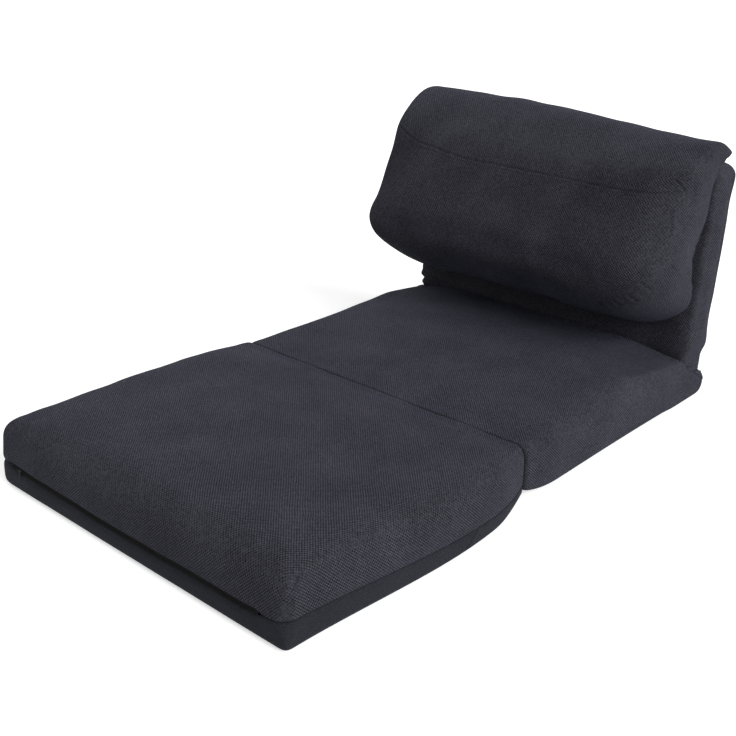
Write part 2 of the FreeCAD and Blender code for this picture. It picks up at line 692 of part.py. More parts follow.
def pawl_pin():
    """The pin that carries the pawl, riveted into the seat plate, with a head outside."""
    centre = pawl_centre()
    inside = SEAT_PLATE_X - PLATE_THICKNESS / 2 - HOLE_GAP
    outside = RATCHET_X + PLATE_THICKNESS / 2 + HOLE_GAP
    ends = [inside - RIVET_HEAD_THICKNESS / 2, inside, outside, outside + RIVET_HEAD_THICKNESS / 2]
    at = [Vector(x, centre.y, centre.z) for x in ends]
    pin = rod(at[1], at[2], PAWL_PIN_RADIUS)
    pin = pin.fuse(rod(at[0], at[1], PAWL_PIN_RADIUS + PIN_HEAD_LAP))
    return pin.fuse(rod(at[2], at[3], PAWL_PIN_RADIUS + PIN_HEAD_LAP)).removeSplitter()


def pawl():
    """The pawl: an eye on its pin and a beak that stops short of the notch."""
    centre = pawl_centre()
    angle = math.radians(pawl_tip_angle())
    tip_reach = RATCHET_RADIUS + PAWL_TIP_GAP
    tip = PIVOT + Vector(0, math.cos(angle), math.sin(angle)) * tip_reach
    along = (tip - centre).normalize()
    turn = Vector(0, -along.z, along.y)
    half = turn * (PAWL_WIDTH / 2)
    shift = Vector(RATCHET_X - PLATE_THICKNESS / 2, 0, 0)
    shoulder = tip - along * PAWL_WIDTH
    corners = [centre - half, shoulder - half, tip, shoulder + half, centre + half, centre - half]
    centre_x = Vector(0, centre.y, centre.z)
    beak = Part.Face(Part.makePolygon([Vector(0, c.y, c.z) + shift for c in corners]))
    lever = beak.extrude(Vector(PLATE_THICKNESS, 0, 0))
    lever = lever.fuse(across_plate(RATCHET_X, centre_x, PAWL_EYE_RADIUS)).removeSplitter()
    return lever.cut(across_plate(RATCHET_X, centre_x, PAWL_PIN_RADIUS + HOLE_GAP, OVERCUT))


def pawl_spring():
    """The torsion spring on the pawl's pin, outside the pawl's head, as the sleeve of its coil."""
    centre = pawl_centre()
    inner = PAWL_PIN_RADIUS + PIN_HEAD_LAP + FIT_GAP
    start = Vector(RATCHET_X + PLATE_THICKNESS / 2 + FIT_GAP, centre.y, centre.z)
    end = start + Vector(SPRING_LENGTH, 0, 0)
    return rod(start, end, inner + SPRING_WIRE).cut(rod(start, end, inner))


def hinge_bolts(axis_of, plate_x, rail_x):
    """Bolts through a hinge plate and its rail, and their nuts."""
    bolts = []
    nuts = []
    for distance in bolt_places():
        for side in (1, -1):
            outer, inner = axis_of(distance, side)
            outward = (outer - inner).normalize()
            base = inner - Vector(inner.x, 0, 0)
            face = base + outward * (plate_x + PLATE_THICKNESS / 2)
            back = base + outward * (rail_x - TUBE_RADIUS)
            end = back - outward * (NUT_THICKNESS + BOLT_END)
            shank = rod(end, face, BOLT_RADIUS)
            head = rod(face, face + outward * BOLT_HEAD_THICKNESS, BOLT_HEAD_RADIUS)
            bolts.append(shank.fuse(head).removeSplitter())
            nut = rod(back - outward * NUT_THICKNESS, back, NUT_RADIUS)
            nuts.append(nut.cut(rod(end, face, BOLT_RADIUS + HOLE_GAP / 2)))
    return bolts, nuts


# Room inside the padding for the frame and the hinges

def pocket_limits(side):
    """The range of X that a hinge needs, with room around it."""
    inner = SEAT_RAIL_X - TUBE_RADIUS - NUT_THICKNESS - BOLT_END - POCKET_GAP
    outer = RATCHET_X + PLATE_THICKNESS / 2 + BOLT_HEAD_THICKNESS + POCKET_GAP
    return (inner, outer) if side > 0 else (-outer, -inner)


def seat_pockets():
    """Pockets for the hinge plates in the seat, open to the rear."""
    half = PLATE_WIDTH / 2 + PAWL_PIVOT_DROP + POCKET_GAP
    front = PIVOT_Y - PLATE_REACH - POCKET_GAP
    return [box(pocket_limits(s), (front, PIVOT_Y), (PIVOT_Z - half, PIVOT_Z + half)) for s in (1, -1)]


def back_pockets():
    """Pockets for the hinge plates in the upright backrest's padding."""
    half = PLATE_WIDTH / 2 + POCKET_GAP
    top = PIVOT_Z + PLATE_REACH + POCKET_GAP
    limits = (PIVOT_Y - half, PIVOT_Y + half)
    return [box(pocket_limits(s), limits, (PIVOT_Z, top)) for s in (1, -1)]


def back_notches():
    """Notches in the backrest's lower end that let the seat's hinge plates in at every recline."""
    top = PIVOT_Z + RATCHET_RADIUS + POCKET_GAP
    limits = (PIVOT_Y - BACK_THICKNESS, PIVOT_Y + BACK_THICKNESS)
    return [box(pocket_limits(s), limits, (PIVOT_Z - BACK_THICKNESS, top)) for s in (1, -1)]


def cut_all(shape, tools):
    """Cut several tools from a shape."""
    for tool in tools:
        shape = shape.cut(tool)
    return shape


def parts_of(shape):
    """The solids of a result, largest first, without slivers."""
    solids = sorted(shape.Solids, key=lambda solid: -solid.Volume)
    return [solid for solid in solids if solid.Volume > SLIVER]


def shell_parts(form, split_height):
    """A cover from a form: the shell above a seam height and the shell below it."""
    shell = form(0).cut(form(COVER_THICKNESS))
    limits = (-FAR, FAR)
    upper = shell.common(box(limits, limits, (split_height, FAR)))
    lower = shell.common(box(limits, limits, (-FAR, split_height)))
    return upper, lower


def make_seat():
    """Frame, webbing, padding and cover of the seat."""
    rails = bent_tube(seat_rail_path(), TUBE_BEND, TUBE_RADIUS, TUBE_WALL)
    solid_rails = bent_tube(seat_rail_path(), TUBE_BEND, TUBE_RADIUS)
    export("seat_frame", cut_all(rails, bolt_holes(seat_bolt_axis)))
    export("seat_cross_tubes", *cross_tubes(seat_cross_centres(), SEAT_RAIL_X, solid_rails))
    straps = web_straps(seat_web_centres(), SEAT_RAIL_X, Vector(0, 0, 1), Vector(0, 1, 0))
    export("seat_webbing", *straps)

    room = TUBE_RADIUS + FIT_GAP + WEB_THICKNESS + PADDING_GAP
    grooves = [bent_tube(seat_rail_path(), TUBE_BEND, room)]
    for centre in seat_cross_centres():
        reach = Vector(SEAT_RAIL_X, 0, 0)
        grooves.append(rod(centre - reach, centre + reach, CROSS_TUBE_RADIUS + PADDING_GAP))
    inner = seat_form(COVER_THICKNESS + PADDING_GAP)
    inner = cut_all(inner, grooves + seat_pockets())
    limits = (-FAR, FAR)
    gap = WEB_THICKNESS / 2 + PADDING_GAP
    upper = inner.common(box(limits, limits, (PIVOT_Z + gap, FAR)))
    lower = inner.common(box(limits, limits, (-FAR, PIVOT_Z - gap)))
    export("seat_foam_top", parts_of(upper)[0])
    export("seat_foam_base", parts_of(lower)[0])

    upper, lower = shell_parts(seat_form, SEAT_SEAM_HEIGHT)
    export("seat_cover_top", parts_of(cut_all(upper, seat_pockets()))[0])
    export("seat_cover_bottom", parts_of(cut_all(lower, seat_pockets()))[0])


def make_gussets():
    """The folded fabric that closes the seat's rear round the backrest's lower end."""
    half = SEAT_WIDTH / 2
    lean = math.radians(BACK_LEAN)
    front = PIVOT_Y - (BACK_HALF + CREASE_GAP) / math.cos(lean)
    start_y = PIVOT_Y + 2 * COVER_THICKNESS
    rear = PIVOT_Y + GUSSET_REACH
    corner = (rear, 0, GUSSET_ROUND)
    wall = [
        (start_y, 0, 0),
        corner,
        (rear, GUSSET_HEIGHT, 0),
        (rear - COVER_THICKNESS, GUSSET_HEIGHT, 0),
        (rear - COVER_THICKNESS, COVER_THICKNESS, GUSSET_ROUND - COVER_THICKNESS),
        (start_y, COVER_THICKNESS, 0),
    ]
    back_wall = side_block(wall, 0, half - COVER_THICKNESS)
    ends = [Vector(x, PIVOT_Y, PIVOT_Z) for x in (-FAR, FAR)]
    back_wall = back_wall.cut(rod(*ends, BACK_HALF + FIT_GAP))
    export("rear_gusset", parts_of(back_wall)[0])
    edge = front + (SEAT_THICKNESS - PIVOT_Z) * math.tan(lean)
    side = [
        (front, PIVOT_Z / 2, 0),
        (front + PIVOT_Z / 2, 0, 0),
        corner,
        (rear, GUSSET_HEIGHT, GUSSET_TIP_ROUND),
        (edge, SEAT_THICKNESS - SEAT_EDGE_ROUND, 0),
    ]
    panel = side_block(side, 0, half).cut(side_block(side, 0, half - COVER_THICKNESS))
    panel = panel.cut(seat_form(-FIT_GAP))
    left = panel.common(box((0, FAR), (-FAR, FAR), (-FAR, FAR)))
    left = parts_of(left)[0]
    export("side_gusset_left", left)
    export("side_gusset_right", mirrored(left))


def make_backrest():
    """Frame, webbing, padding and cover of the backrest."""
    rails = bent_tube(back_rail_path(), TUBE_BEND, TUBE_RADIUS, TUBE_WALL)
    solid_rails = bent_tube(back_rail_path(), TUBE_BEND, TUBE_RADIUS)
    export("back_frame", leaned(cut_all(rails, bolt_holes(back_bolt_axis))))
    tubes = cross_tubes(back_cross_centres(), BACK_RAIL_X, solid_rails)
    export("back_cross_tube", leaned(tubes[0]))
    straps = web_straps(back_web_centres(), BACK_RAIL_X, Vector(0, 1, 0), Vector(0, 0, 1))
    export("back_webbing", *[leaned(strap) for strap in straps])

    room = TUBE_RADIUS + FIT_GAP + WEB_THICKNESS + PADDING_GAP
    grooves = [bent_tube(back_rail_path(), TUBE_BEND, room)]
    for centre in back_cross_centres():
        reach = Vector(BACK_RAIL_X, 0, 0)
        grooves.append(rod(centre - reach, centre + reach, CROSS_TUBE_RADIUS + PADDING_GAP))
    inner = back_form(COVER_THICKNESS + PADDING_GAP)
    inner = cut_all(inner, grooves + back_pockets() + back_notches())
    limits = (-FAR, FAR)
    gap = WEB_THICKNESS / 2 + PADDING_GAP
    front = inner.common(box(limits, (-FAR, PIVOT_Y - gap), limits))
    rear = inner.common(box(limits, (PIVOT_Y + gap, FAR), limits))
    export("back_foam_front", leaned(parts_of(front)[0]))
    export("back_foam_rear", leaned(parts_of(rear)[0]))

    shell = back_form(0).cut(back_form(COVER_THICKNESS))
    shell = cut_all(shell, back_notches())
    front = shell.common(box(limits, (-FAR, PIVOT_Y), limits))
    rear = shell.common(box(limits, (PIVOT_Y, FAR), limits))
    export("back_cover_front", leaned(parts_of(front)[0]))
    export("back_cover_rear", leaned(parts_of(rear)[0]))


def make_hinges():
    """The two ratchet hinges with their fasteners."""
    plate = seat_plate()
    ratchet = leaned(ratchet_plate())
    lever = pawl()
    for name, piece in (("hinge_plate", plate), ("ratchet_plate", ratchet), ("pawl", lever)):
        export(name + "_left", piece)
        export(name + "_right", mirrored(piece))
    export("pivot_rivets", pivot_rivet(), mirrored(pivot_rivet()))
    export("pawl_pins", pawl_pin(), mirrored(pawl_pin()))
    export("pawl_springs", pawl_spring(), mirrored(pawl_spring()))
    bolts, nuts = hinge_bolts(seat_bolt_axis, SEAT_PLATE_X, SEAT_RAIL_X)
    export("seat_hinge_bolts", *bolts)
    export("seat_hinge_nuts", *nuts)
    bolts, nuts = hinge_bolts(back_bolt_axis, RATCHET_X, BACK_RAIL_X)
    export("back_hinge_bolts", *[leaned(bolt) for bolt in bolts])
    export("back_hinge_nuts", *[leaned(nut) for nut in nuts])


def make_leg_section():
    """Padding, cover, hinge strip and zip of the leg section."""
    export("leg_foam", parts_of(leg_form(COVER_THICKNESS + PADDING_GAP))[0])
    upper, lower = shell_parts(leg_form, LEG_WAIST_HEIGHT)
    export("leg_cover_top", parts_of(upper)[0])
    export("leg_cover_bottom", parts_of(lower)[0])

    half = SEAT_WIDTH / 2 - SEAT_EDGE_ROUND
    height = min(SEAT_THICKNESS - SEAT_CROWN, LEG_REAR_THICKNESS) - SEAT_EDGE_ROUND - HINGE_STRIP_THICKNESS
    joint = (JOINT_Y - JOINT_GAP / 2, JOINT_Y + JOINT_GAP / 2)
    export("hinge_strip", box((-half, half), joint, (height - HINGE_STRIP_THICKNESS, height)))


def make_zip():
    """The zip in the groove of the front waist: tape, coil, slider and pull."""
    left = -LEG_WIDTH / 2 + ZIP_END_SETBACK
    right = left + ZIP_LENGTH
    middle = LEG_WAIST_HEIGHT
    face = LEG_FRONT_Y + LEG_WAIST_DEPTH / 2
    heights = (middle - ZIP_TAPE_HEIGHT / 2, middle + ZIP_TAPE_HEIGHT / 2)
    tape = box((left, right), (face, face + LEG_WAIST_DEPTH), heights).cut(leg_form(-FIT_GAP))
    export("zip_tape", parts_of(tape)[0])
    coil_face = face - ZIP_COIL_THICKNESS
    coil_heights = (middle - ZIP_COIL_WIDTH / 2, middle + ZIP_COIL_WIDTH / 2)
    export("zip_coil", box((left, right), (coil_face, face), coil_heights))

    start = left + SLIDER_SETBACK
    end = start + SLIDER_LENGTH
    slider_face = coil_face - FIT_GAP - SLIDER_PLATE
    slider_heights = (middle - SLIDER_WIDTH / 2, middle + SLIDER_WIDTH / 2)
    slider = box((start, end), (slider_face, face - FIT_GAP), slider_heights)
    channel = (coil_heights[0] - FIT_GAP, coil_heights[1] + FIT_GAP)
    slider = slider.cut(box((start - OVERCUT, end + OVERCUT), (coil_face - FIT_GAP, face), channel))
    export("zip_slider", slider)
    centre = (start + end) / 2
    across = (centre - PULL_WIDTH / 2, centre + PULL_WIDTH / 2)
    pull = box(across, (slider_face - PULL_THICKNESS, slider_face), (middle - PULL_LENGTH, middle))
    export("zip_pull", pull)


def make_pillow():
    """Filling, cover and top flap of the pillow."""
    face = PIVOT_Y - BACK_HALF - PILLOW_GAP
    export("pillow_filling", leaned(parts_of(pillow_form(COVER_THICKNESS + PADDING_GAP))[0]))
    shell = pillow_form(0).cut(pillow_form(COVER_THICKNESS))
    limits = (-FAR, FAR)
    seam = face - PILLOW_BACK_SEAM
    front = shell.common(box(limits, (-FAR, seam), limits))
    back = shell.common(box(limits, (seam, FAR), limits))
    export("pillow_cover_front", leaned(parts_of(front)[0]))
    export("pillow_cover_back", leaned(parts_of(back)[0]))
    half = PILLOW_WIDTH / 2 - PILLOW_CORNER_ROUND
    top = PIVOT_Z + BACK_LENGTH + PILLOW_GAP
    flap = box((-half, half), (PIVOT_Y - FLAP_LAP, flap_end()), (top - FLAP_THICKNESS, top))
    export("pillow_flap", leaned(flap))


def flap_end():
    """Where the pillow's flap is sewn down, on the flat of the upright backrest's top."""
    return PIVOT_Y + BACK_HALF - BACK_TOP_ROUND


def print_axes():
    """Print the joint axes, which all run along X, as places in Y and Z at rest."""
    flap = Part.Vertex(Vector(0, flap_end(), PIVOT_Z + BACK_LENGTH + PILLOW_GAP - FLAP_THICKNESS / 2))
    places = {
        "leg fold": Vector(0, JOINT_Y - FOLD_AXIS_SETBACK, SEAT_THICKNESS + FOLD_AXIS_RISE),
        "recline": PIVOT,
        "pillow lift": leaned(flap).Point,
        "pawl": pawl_centre(),
        "zip pull": Vector(0, LEG_FRONT_Y, LEG_WAIST_HEIGHT),
    }
    for name, place in places.items():
        print(name, round(place.y, 3), round(place.z, 3))


os.makedirs("parts", exist_ok=True)
make_seat()
make_gussets()
make_backrest()
make_hinges()
make_leg_section()
make_zip()
make_pillow()
print_axes()
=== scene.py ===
"""Looks of the convertible chair bed: its cushions, pillow, folded gussets, seams, zip and finishes.

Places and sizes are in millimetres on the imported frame's axes: X to the right, Y to the back, Z up.
new_piece, points_of and set_points turn them to and from the metres of a mesh.
"""
import json
import math

import bpy
import numpy as np
from mathutils import Matrix, Vector
from mathutils.bvhtree import BVHTree


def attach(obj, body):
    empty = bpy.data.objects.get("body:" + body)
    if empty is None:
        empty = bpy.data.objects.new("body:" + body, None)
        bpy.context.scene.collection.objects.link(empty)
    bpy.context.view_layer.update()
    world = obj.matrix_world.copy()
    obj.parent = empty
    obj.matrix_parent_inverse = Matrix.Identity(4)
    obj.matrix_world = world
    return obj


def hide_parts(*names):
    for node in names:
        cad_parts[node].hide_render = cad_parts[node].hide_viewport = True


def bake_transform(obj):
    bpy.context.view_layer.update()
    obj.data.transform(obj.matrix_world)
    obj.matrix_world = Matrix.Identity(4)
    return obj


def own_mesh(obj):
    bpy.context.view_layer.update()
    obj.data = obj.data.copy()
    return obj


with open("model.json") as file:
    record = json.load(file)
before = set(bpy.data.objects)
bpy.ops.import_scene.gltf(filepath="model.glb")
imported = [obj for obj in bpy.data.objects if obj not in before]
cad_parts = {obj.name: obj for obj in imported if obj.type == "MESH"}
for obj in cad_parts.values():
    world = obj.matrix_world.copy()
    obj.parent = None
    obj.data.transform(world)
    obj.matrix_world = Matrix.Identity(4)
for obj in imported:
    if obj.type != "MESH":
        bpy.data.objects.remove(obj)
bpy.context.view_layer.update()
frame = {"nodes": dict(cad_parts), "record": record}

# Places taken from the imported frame
JOINTS = {joint["name"]: joint for joint in frame["record"]["behaviour"]["joints"]}
PIVOT = np.array(JOINTS["recline"]["pos_m"]) * 1000
FOLD = np.array(JOINTS["leg_fold"]["pos_m"]) * 1000
# how far the backrest leans back at rest
BACK_LEAN = math.radians(7.0)


def srgb(code):
    """A hex colour as linear red, green, blue and alpha."""
    parts = [int(code[i:i + 2], 16) / 255 for i in (1, 3, 5)]
    return [p / 12.92 if p <= 0.04045 else ((p + 0.055) / 1.055) ** 2.4 for p in parts] + [1.0]


# Curves

def ease(low, high, value):
    """0 below low, 1 above high, and a smooth rise between them."""
    t = np.clip((np.asarray(value, float) - low) / (high - low), 0, 1)
    return t * t * (3 - 2 * t)


def ripple(values, seed):
    """A slow irregular wave between about -1 and 1, the same on every run."""
    values = np.asarray(values, float)
    steps = ((1.0, 1.0), (2.3, 0.5), (4.1, 0.3))
    return sum(s * np.sin(values * f + seed * (1.7 + f)) for f, s in steps) / 1.5


def round_over(distance, reach, depth):
    """How far a surface draws in at a distance from an edge that is rounded over that reach."""
    t = np.clip(1 - np.asarray(distance, float) / reach, 0, 1)
    return depth * (1 - np.sqrt(1 - t * t))


def smooth_path(points, count, closed=False):
    """Evenly spaced points on a smooth curve through a few points."""
    points = np.asarray(points, float)
    n = len(points)
    fine = []
    for i in range(n if closed else n - 1):
        four = [points[k % n] if closed else points[min(max(k, 0), n - 1)] for k in range(i - 1, i + 3)]
        for t in np.linspace(0, 1, 24, endpoint=False):
            fine.append(0.5 * (2 * four[1] + (four[2] - four[0]) * t
                               + (2 * four[0] - 5 * four[1] + 4 * four[2] - four[3]) * t ** 2
                               + (3 * four[1] - four[0] - 3 * four[2] + four[3]) * t ** 3))
    fine.append(points[0] if closed else points[-1])
    fine = np.array(fine)
    along = np.concatenate([[0], np.cumsum(np.linalg.norm(np.diff(fine, axis=0), axis=1))])
    where = np.linspace(0, along[-1], count, endpoint=not closed)
    return np.stack([np.interp(where, along, fine[:, k]) for k in range(fine.shape[1])], 1)


def sided(side, places):
    """Places given for the right, as they are for side 1 and mirrored to the left for side -1."""
    return [(side * x, y, z) for x, y, z in places]


def path_length(path):
    """The length of a path."""
    return float(np.sum(np.linalg.norm(np.diff(path, axis=0), axis=1)))


def drawn_in(ring, amounts):
    """A closed plane outline, anticlockwise, moved inwards by an amount at each point."""
    tangent = np.roll(ring, -1, 0) - np.roll(ring, 1, 0)
    outward = np.stack([tangent[:, 1], -tangent[:, 0]], 1)
    outward /= np.maximum(np.linalg.norm(outward, axis=1), 1e-9)[:, None]
    return ring - outward * np.asarray(amounts, float).reshape(-1, 1)


def leaned(points):
    """Points drawn on the upright backrest, turned to its rest lean about the recline pivot."""
    turn = np.array(Matrix.Rotation(-BACK_LEAN, 3, "X"))
    return (np.asarray(points, float) - PIVOT) @ turn.T + PIVOT


# Meshes

def new_piece(name, points, faces, finish):
    """A smooth-shaded mesh object from points in millimetres and faces."""
    mesh = bpy.data.meshes.new(name)
    corners = [tuple(int(i) for i in face) for face in faces]
    mesh.from_pydata((np.asarray(points, float) / 1000).tolist(), [], corners)
    mesh.validate()
    mesh.polygons.foreach_set("use_smooth", [True] * len(mesh.polygons))
    mesh.materials.append(finish)
    piece = bpy.data.objects.new(name, mesh)
    bpy.context.scene.collection.objects.link(piece)
    return piece


def points_of(piece):
    """The piece's points, in millimetres."""
    points = np.empty(len(piece.data.vertices) * 3)
    piece.data.vertices.foreach_get("co", points)
    return points.reshape(-1, 3) * 1000


def set_points(piece, points):
    """Move the piece's points, given in millimetres; none goes below the floor."""
    points = np.array(points, float)
    points[:, 2] = np.maximum(points[:, 2], 0)
    piece.data.vertices.foreach_set("co", (points / 1000).ravel())
    piece.data.update()


def normals_of(piece):
    """The piece's point normals."""
    normals = np.empty(len(piece.data.vertices) * 3)
    piece.data.vertices.foreach_get("normal", normals)
    return normals.reshape(-1, 3)


def edges_of(piece):
    """The piece's edges as pairs of point numbers."""
    edges = np.empty(len(piece.data.edges) * 2, int)
    piece.data.edges.foreach_get("vertices", edges)
    return edges.reshape(-1, 2)


def square_border(across, along):
    """The border of a square as (a, b) pairs from -1 to 1, anticlockwise from its first corner."""
    a = np.linspace(-1, 1, across + 1)[:-1]
    b = np.linspace(-1, 1, along + 1)[:-1]
    sides = [(a, -np.ones(across)), (np.ones(along), b), (-a, np.ones(across)), (-np.ones(along), -b)]
    return np.concatenate([s[0] for s in sides]), np.concatenate([s[1] for s in sides])


def cap_grid(ring, across, along):
    """A grid of points that fills a ring laid out like square_border."""
    u = np.linspace(0, 1, across + 1)[:, None, None]
    v = np.linspace(0, 1, along + 1)[None, :, None]
    first = ring[:across + 1]
    right = ring[across:across + along + 1]
    last = ring[across + along:2 * across + along + 1][::-1]
    left = np.vstack([ring[2 * across + along:], ring[:1]])[::-1]
    rows = (1 - v) * first[:, None] + v * last[:, None]
    columns = (1 - u) * left[None] + u * right[None]
    corners = ((1 - u) * (1 - v) * ring[0] + u * (1 - v) * ring[across]
               + (1 - u) * v * ring[2 * across + along] + u * v * ring[across + along])
    return rows + columns - corners


def closed_loft(name, rings, across, along, finish):
    """A closed skin through rings that are laid out like square_border, with a grid over each end."""
    rings = np.asarray(rings)
    count = rings.shape[1]
    points = list(rings.reshape(-1, 3))
    faces = []
    for r in range(len(rings) - 1):
        for i in range(count):
            j = (i + 1) % count
            low = r * count
            faces.append((low + i, low + j, low + count + j, low + count + i))
    border = {}
    for i in range(count):
        if i <= across:
            border[i, 0] = i
        elif i <= across + along:
            border[across, i - across] = i
        elif i <= 2 * across + along:
            border[2 * across + along - i, along] = i
        else:
            border[0, count - i] = i
    for ring_index, turned in ((0, True), (len(rings) - 1, False)):
        grid = cap_grid(rings[ring_index], across, along)
        at = {}
        for i in range(across + 1):
            for j in range(along + 1):
                if (i, j) in border:
                    at[i, j] = ring_index * count + border[i, j]
                else:
                    at[i, j] = len(points)
                    points.append(grid[i, j])
        for i in range(across):
            for j in range(along):
                face = (at[i, j], at[i + 1, j], at[i + 1, j + 1], at[i, j + 1])
                faces.append(face[::-1] if turned else face)
    return new_piece(name, points, faces, finish)


def strip(name, rows, thickness, finish):
    """A sheet of cloth over a grid of points; a negative thickness lies on the sheet's other side."""
    rows = np.asarray(rows, float)
    along, across = rows.shape[:2]
    run = np.gradient(rows, axis=0)
    side = np.gradient(rows, axis=1)
    normal = np.cross(run, side)
    normal /= np.maximum(np.linalg.norm(normal, axis=2), 1e-9)[..., None]
    points = np.concatenate([rows.reshape(-1, 3), (rows + normal * thickness).reshape(-1, 3)])
    base = along * across
    faces = []
    for i in range(along - 1):
        for j in range(across - 1):
            a = i * across + j
            b, c, d = a + 1, a + across + 1, a + across
            faces += [(a, b, c, d), (base + d, base + c, base + b, base + a)]
    edge = ([(0, j) for j in range(across)] + [(i, across - 1) for i in range(1, along)]
            + [(along - 1, j) for j in range(across - 2, -1, -1)] + [(i, 0) for i in range(along - 2, 0, -1)])
    numbers = [i * across + j for i, j in edge]
    for a, b in zip(numbers, numbers[1:] + numbers[:1]):
        faces.append((b, a, base + a, base + b))
    return new_piece(name, points, faces, finish)


def rounded_outline(a, b, half, front, rear, front_round, rear_round):
    """Points of a rectangle in X and Y with round corners, from square_border's pairs."""
    x = a * half
    y = front + (rear - front) * (b + 1) / 2
    radius = np.where(b < 0, front_round, rear_round)
    inner_x = np.clip(x, -half + radius, half - radius)
    inner_y = np.clip(y, front + radius, rear - radius)
    out = np.stack([x - inner_x, y - inner_y], 1)
    length = np.maximum(np.linalg.norm(out, axis=1), 1e-9)
    return inner_x + out[:, 0] / length * radius, inner_y + out[:, 1] / length * radius


def apply_modifiers(piece):
    """Turn the piece's modifiers into its mesh."""
    evaluated = piece.evaluated_get(bpy.context.evaluated_depsgraph_get())
    mesh = bpy.data.meshes.new_from_object(evaluated)
    piece.modifiers.clear()
    piece.data = mesh


def subdivide(piece, levels=1):
    """Smooth the piece with a finer mesh."""
    piece.modifiers.new("finer", "SUBSURF").levels = levels
    piece.modifiers["finer"].render_levels = levels
    apply_modifiers(piece)


def evened(piece, moves, rounds):
    """Moves averaged with their neighbours', as thick cloth over foam evens out."""
    edges = edges_of(piece)
    count = np.maximum(np.bincount(edges.ravel(), minlength=len(moves)), 1)[:, None]
    for _ in range(rounds):
        total = np.zeros_like(moves)
        np.add.at(total, edges[:, 0], moves[edges[:, 1]])
        np.add.at(total, edges[:, 1], moves[edges[:, 0]])
        moves = 0.4 * moves + 0.6 * total / count
    return moves


def swell(piece, pinned, cap, pressure=4.0, frames=15, evening=6):
    """Inflate a cushion as cloth: pinned points stay, and no point moves further than cap."""
    rest = points_of(piece)
    group = piece.vertex_groups.new(name="pinned")
    levels = np.round(np.clip(pinned, 0, 1), 2)
    for level in np.unique(levels):
        if level > 0:
            group.add([int(i) for i in np.nonzero(levels == level)[0]], float(level), "REPLACE")
    cloth = piece.modifiers.new("cloth", "CLOTH")
    settings = cloth.settings
    settings.use_pressure = True
    settings.uniform_pressure_force = pressure
    settings.vertex_group_mass = "pinned"
    settings.mass = 0.3
    settings.tension_stiffness = 25
    settings.compression_stiffness = 25
    settings.shear_stiffness = 12
    settings.bending_stiffness = 0.6
    settings.air_damping = 3
    settings.quality = 5
    settings.effector_weights.gravity = 0
    cloth.collision_settings.use_collision = False
    cloth.point_cache.frame_start = 1
    cloth.point_cache.frame_end = frames
    for step in range(1, frames + 1):
        bpy.context.scene.frame_set(step)
    apply_modifiers(piece)
    bpy.context.scene.frame_set(1)
    moved = points_of(piece) - rest
    length = np.maximum(np.linalg.norm(moved, axis=1), 1e-9)
    moved *= (cap * np.tanh(length / cap) / length)[:, None]
    moved = evened(piece, moved, evening) * (1 - np.clip(pinned, 0, 1))[:, None]
    set_points(piece, rest + moved)


# Cloth details: seams, creases and stitches

# points nearer to a pressed line than this go onto it, but for this share of their distance
SNAP_REACH = 1.9
SNAP_LEFT = 0.15

def nearest_on(path, points):
    """For each point: its distance from a path, the nearest place on it, and how far along that is."""
    starts, steps = path[:-1], np.diff(path, axis=0)
    lengths = np.linalg.norm(steps, axis=1)
    before = np.concatenate([[0], np.cumsum(lengths)])
    best = np.full(len(points), 1e9)
    place = np.zeros_like(points)
    along = np.zeros(len(points))
    for k in range(len(steps)):
        t = np.clip((points - starts[k]) @ steps[k] / max(lengths[k] ** 2, 1e-12), 0, 1)
        spot = starts[k] + t[:, None] * steps[k]
        gap = np.linalg.norm(points - spot, axis=1)
        near = gap < best
        best[near], place[near] = gap[near], spot[near]
        along[near] = before[k] + t[near] * lengths[k]
    return best, place, along


def press_line(piece, path, width, depth, lips=0.3, taper=0.0):
    """Press a line into a piece: a valley with a lip at each side, fading at its ends over taper.

    Points close to the path are drawn onto it, so that a line narrower than the mesh still shows.
    """
    points = points_of(piece)
    path = np.asarray(path, float)
    low, high = path.min(0) - 4 * width, path.max(0) + 4 * width
    near = np.nonzero(np.all((points > low) & (points < high), axis=1))[0]
    gap, place, along = nearest_on(path, points[near])
    total = path_length(path)
    fade = np.ones(len(near))
    if taper:
        fade = ease(0, taper, along) * ease(0, taper, total - along)
    snap = (gap < SNAP_REACH) & (fade > 0.2)
    moved = points[near]
    moved[snap] = place[snap] * (1 - SNAP_LEFT) + moved[snap] * SNAP_LEFT
    gap[snap] *= SNAP_LEFT
    fall = -np.exp(-(gap / (0.45 * width)) ** 2) + lips * np.exp(-((gap - 1.1 * width) / (0.6 * width)) ** 2)
    points[near] = moved + normals_of(piece)[near] * (depth * fall * fade)[:, None]
    set_points(piece, points)


def soften(piece, height, spacing, seed, keep_below=None):
    """Slow uneven waves over a piece, as padding settles under cloth."""
    points = points_of(piece)
    k = 2 * math.pi / spacing
    wave = sum(np.sin(points @ np.array(way) * k * f + seed * s) for way, f, s in
               (((1, 0.2, 0.3), 1.0, 1.1), ((0.1, 1, -0.4), 0.83, 2.3), ((-0.6, 0.5, 1), 1.27, 3.7),
                ((0.7, -0.8, 0.2), 1.9, 5.3))) / 4
    if keep_below is not None:
        wave = wave * ease(keep_below, keep_below + 25, points[:, 2])
    set_points(piece, points + normals_of(piece) * (height * wave)[:, None])


def skin_of(piece):
    """A search tree of the piece's faces, in millimetres."""
    points = points_of(piece)
    return BVHTree.FromPolygons([Vector(p) for p in points], [tuple(f.vertices) for f in piece.data.polygons])


def laid_on(skin, path):
    """A path moved onto the nearest places of a skin, with the skin's normals there."""
    found = [skin.find_nearest(Vector(p)) for p in path]
    return np.array([f[0] for f in found]), np.array([f[1] for f in found])


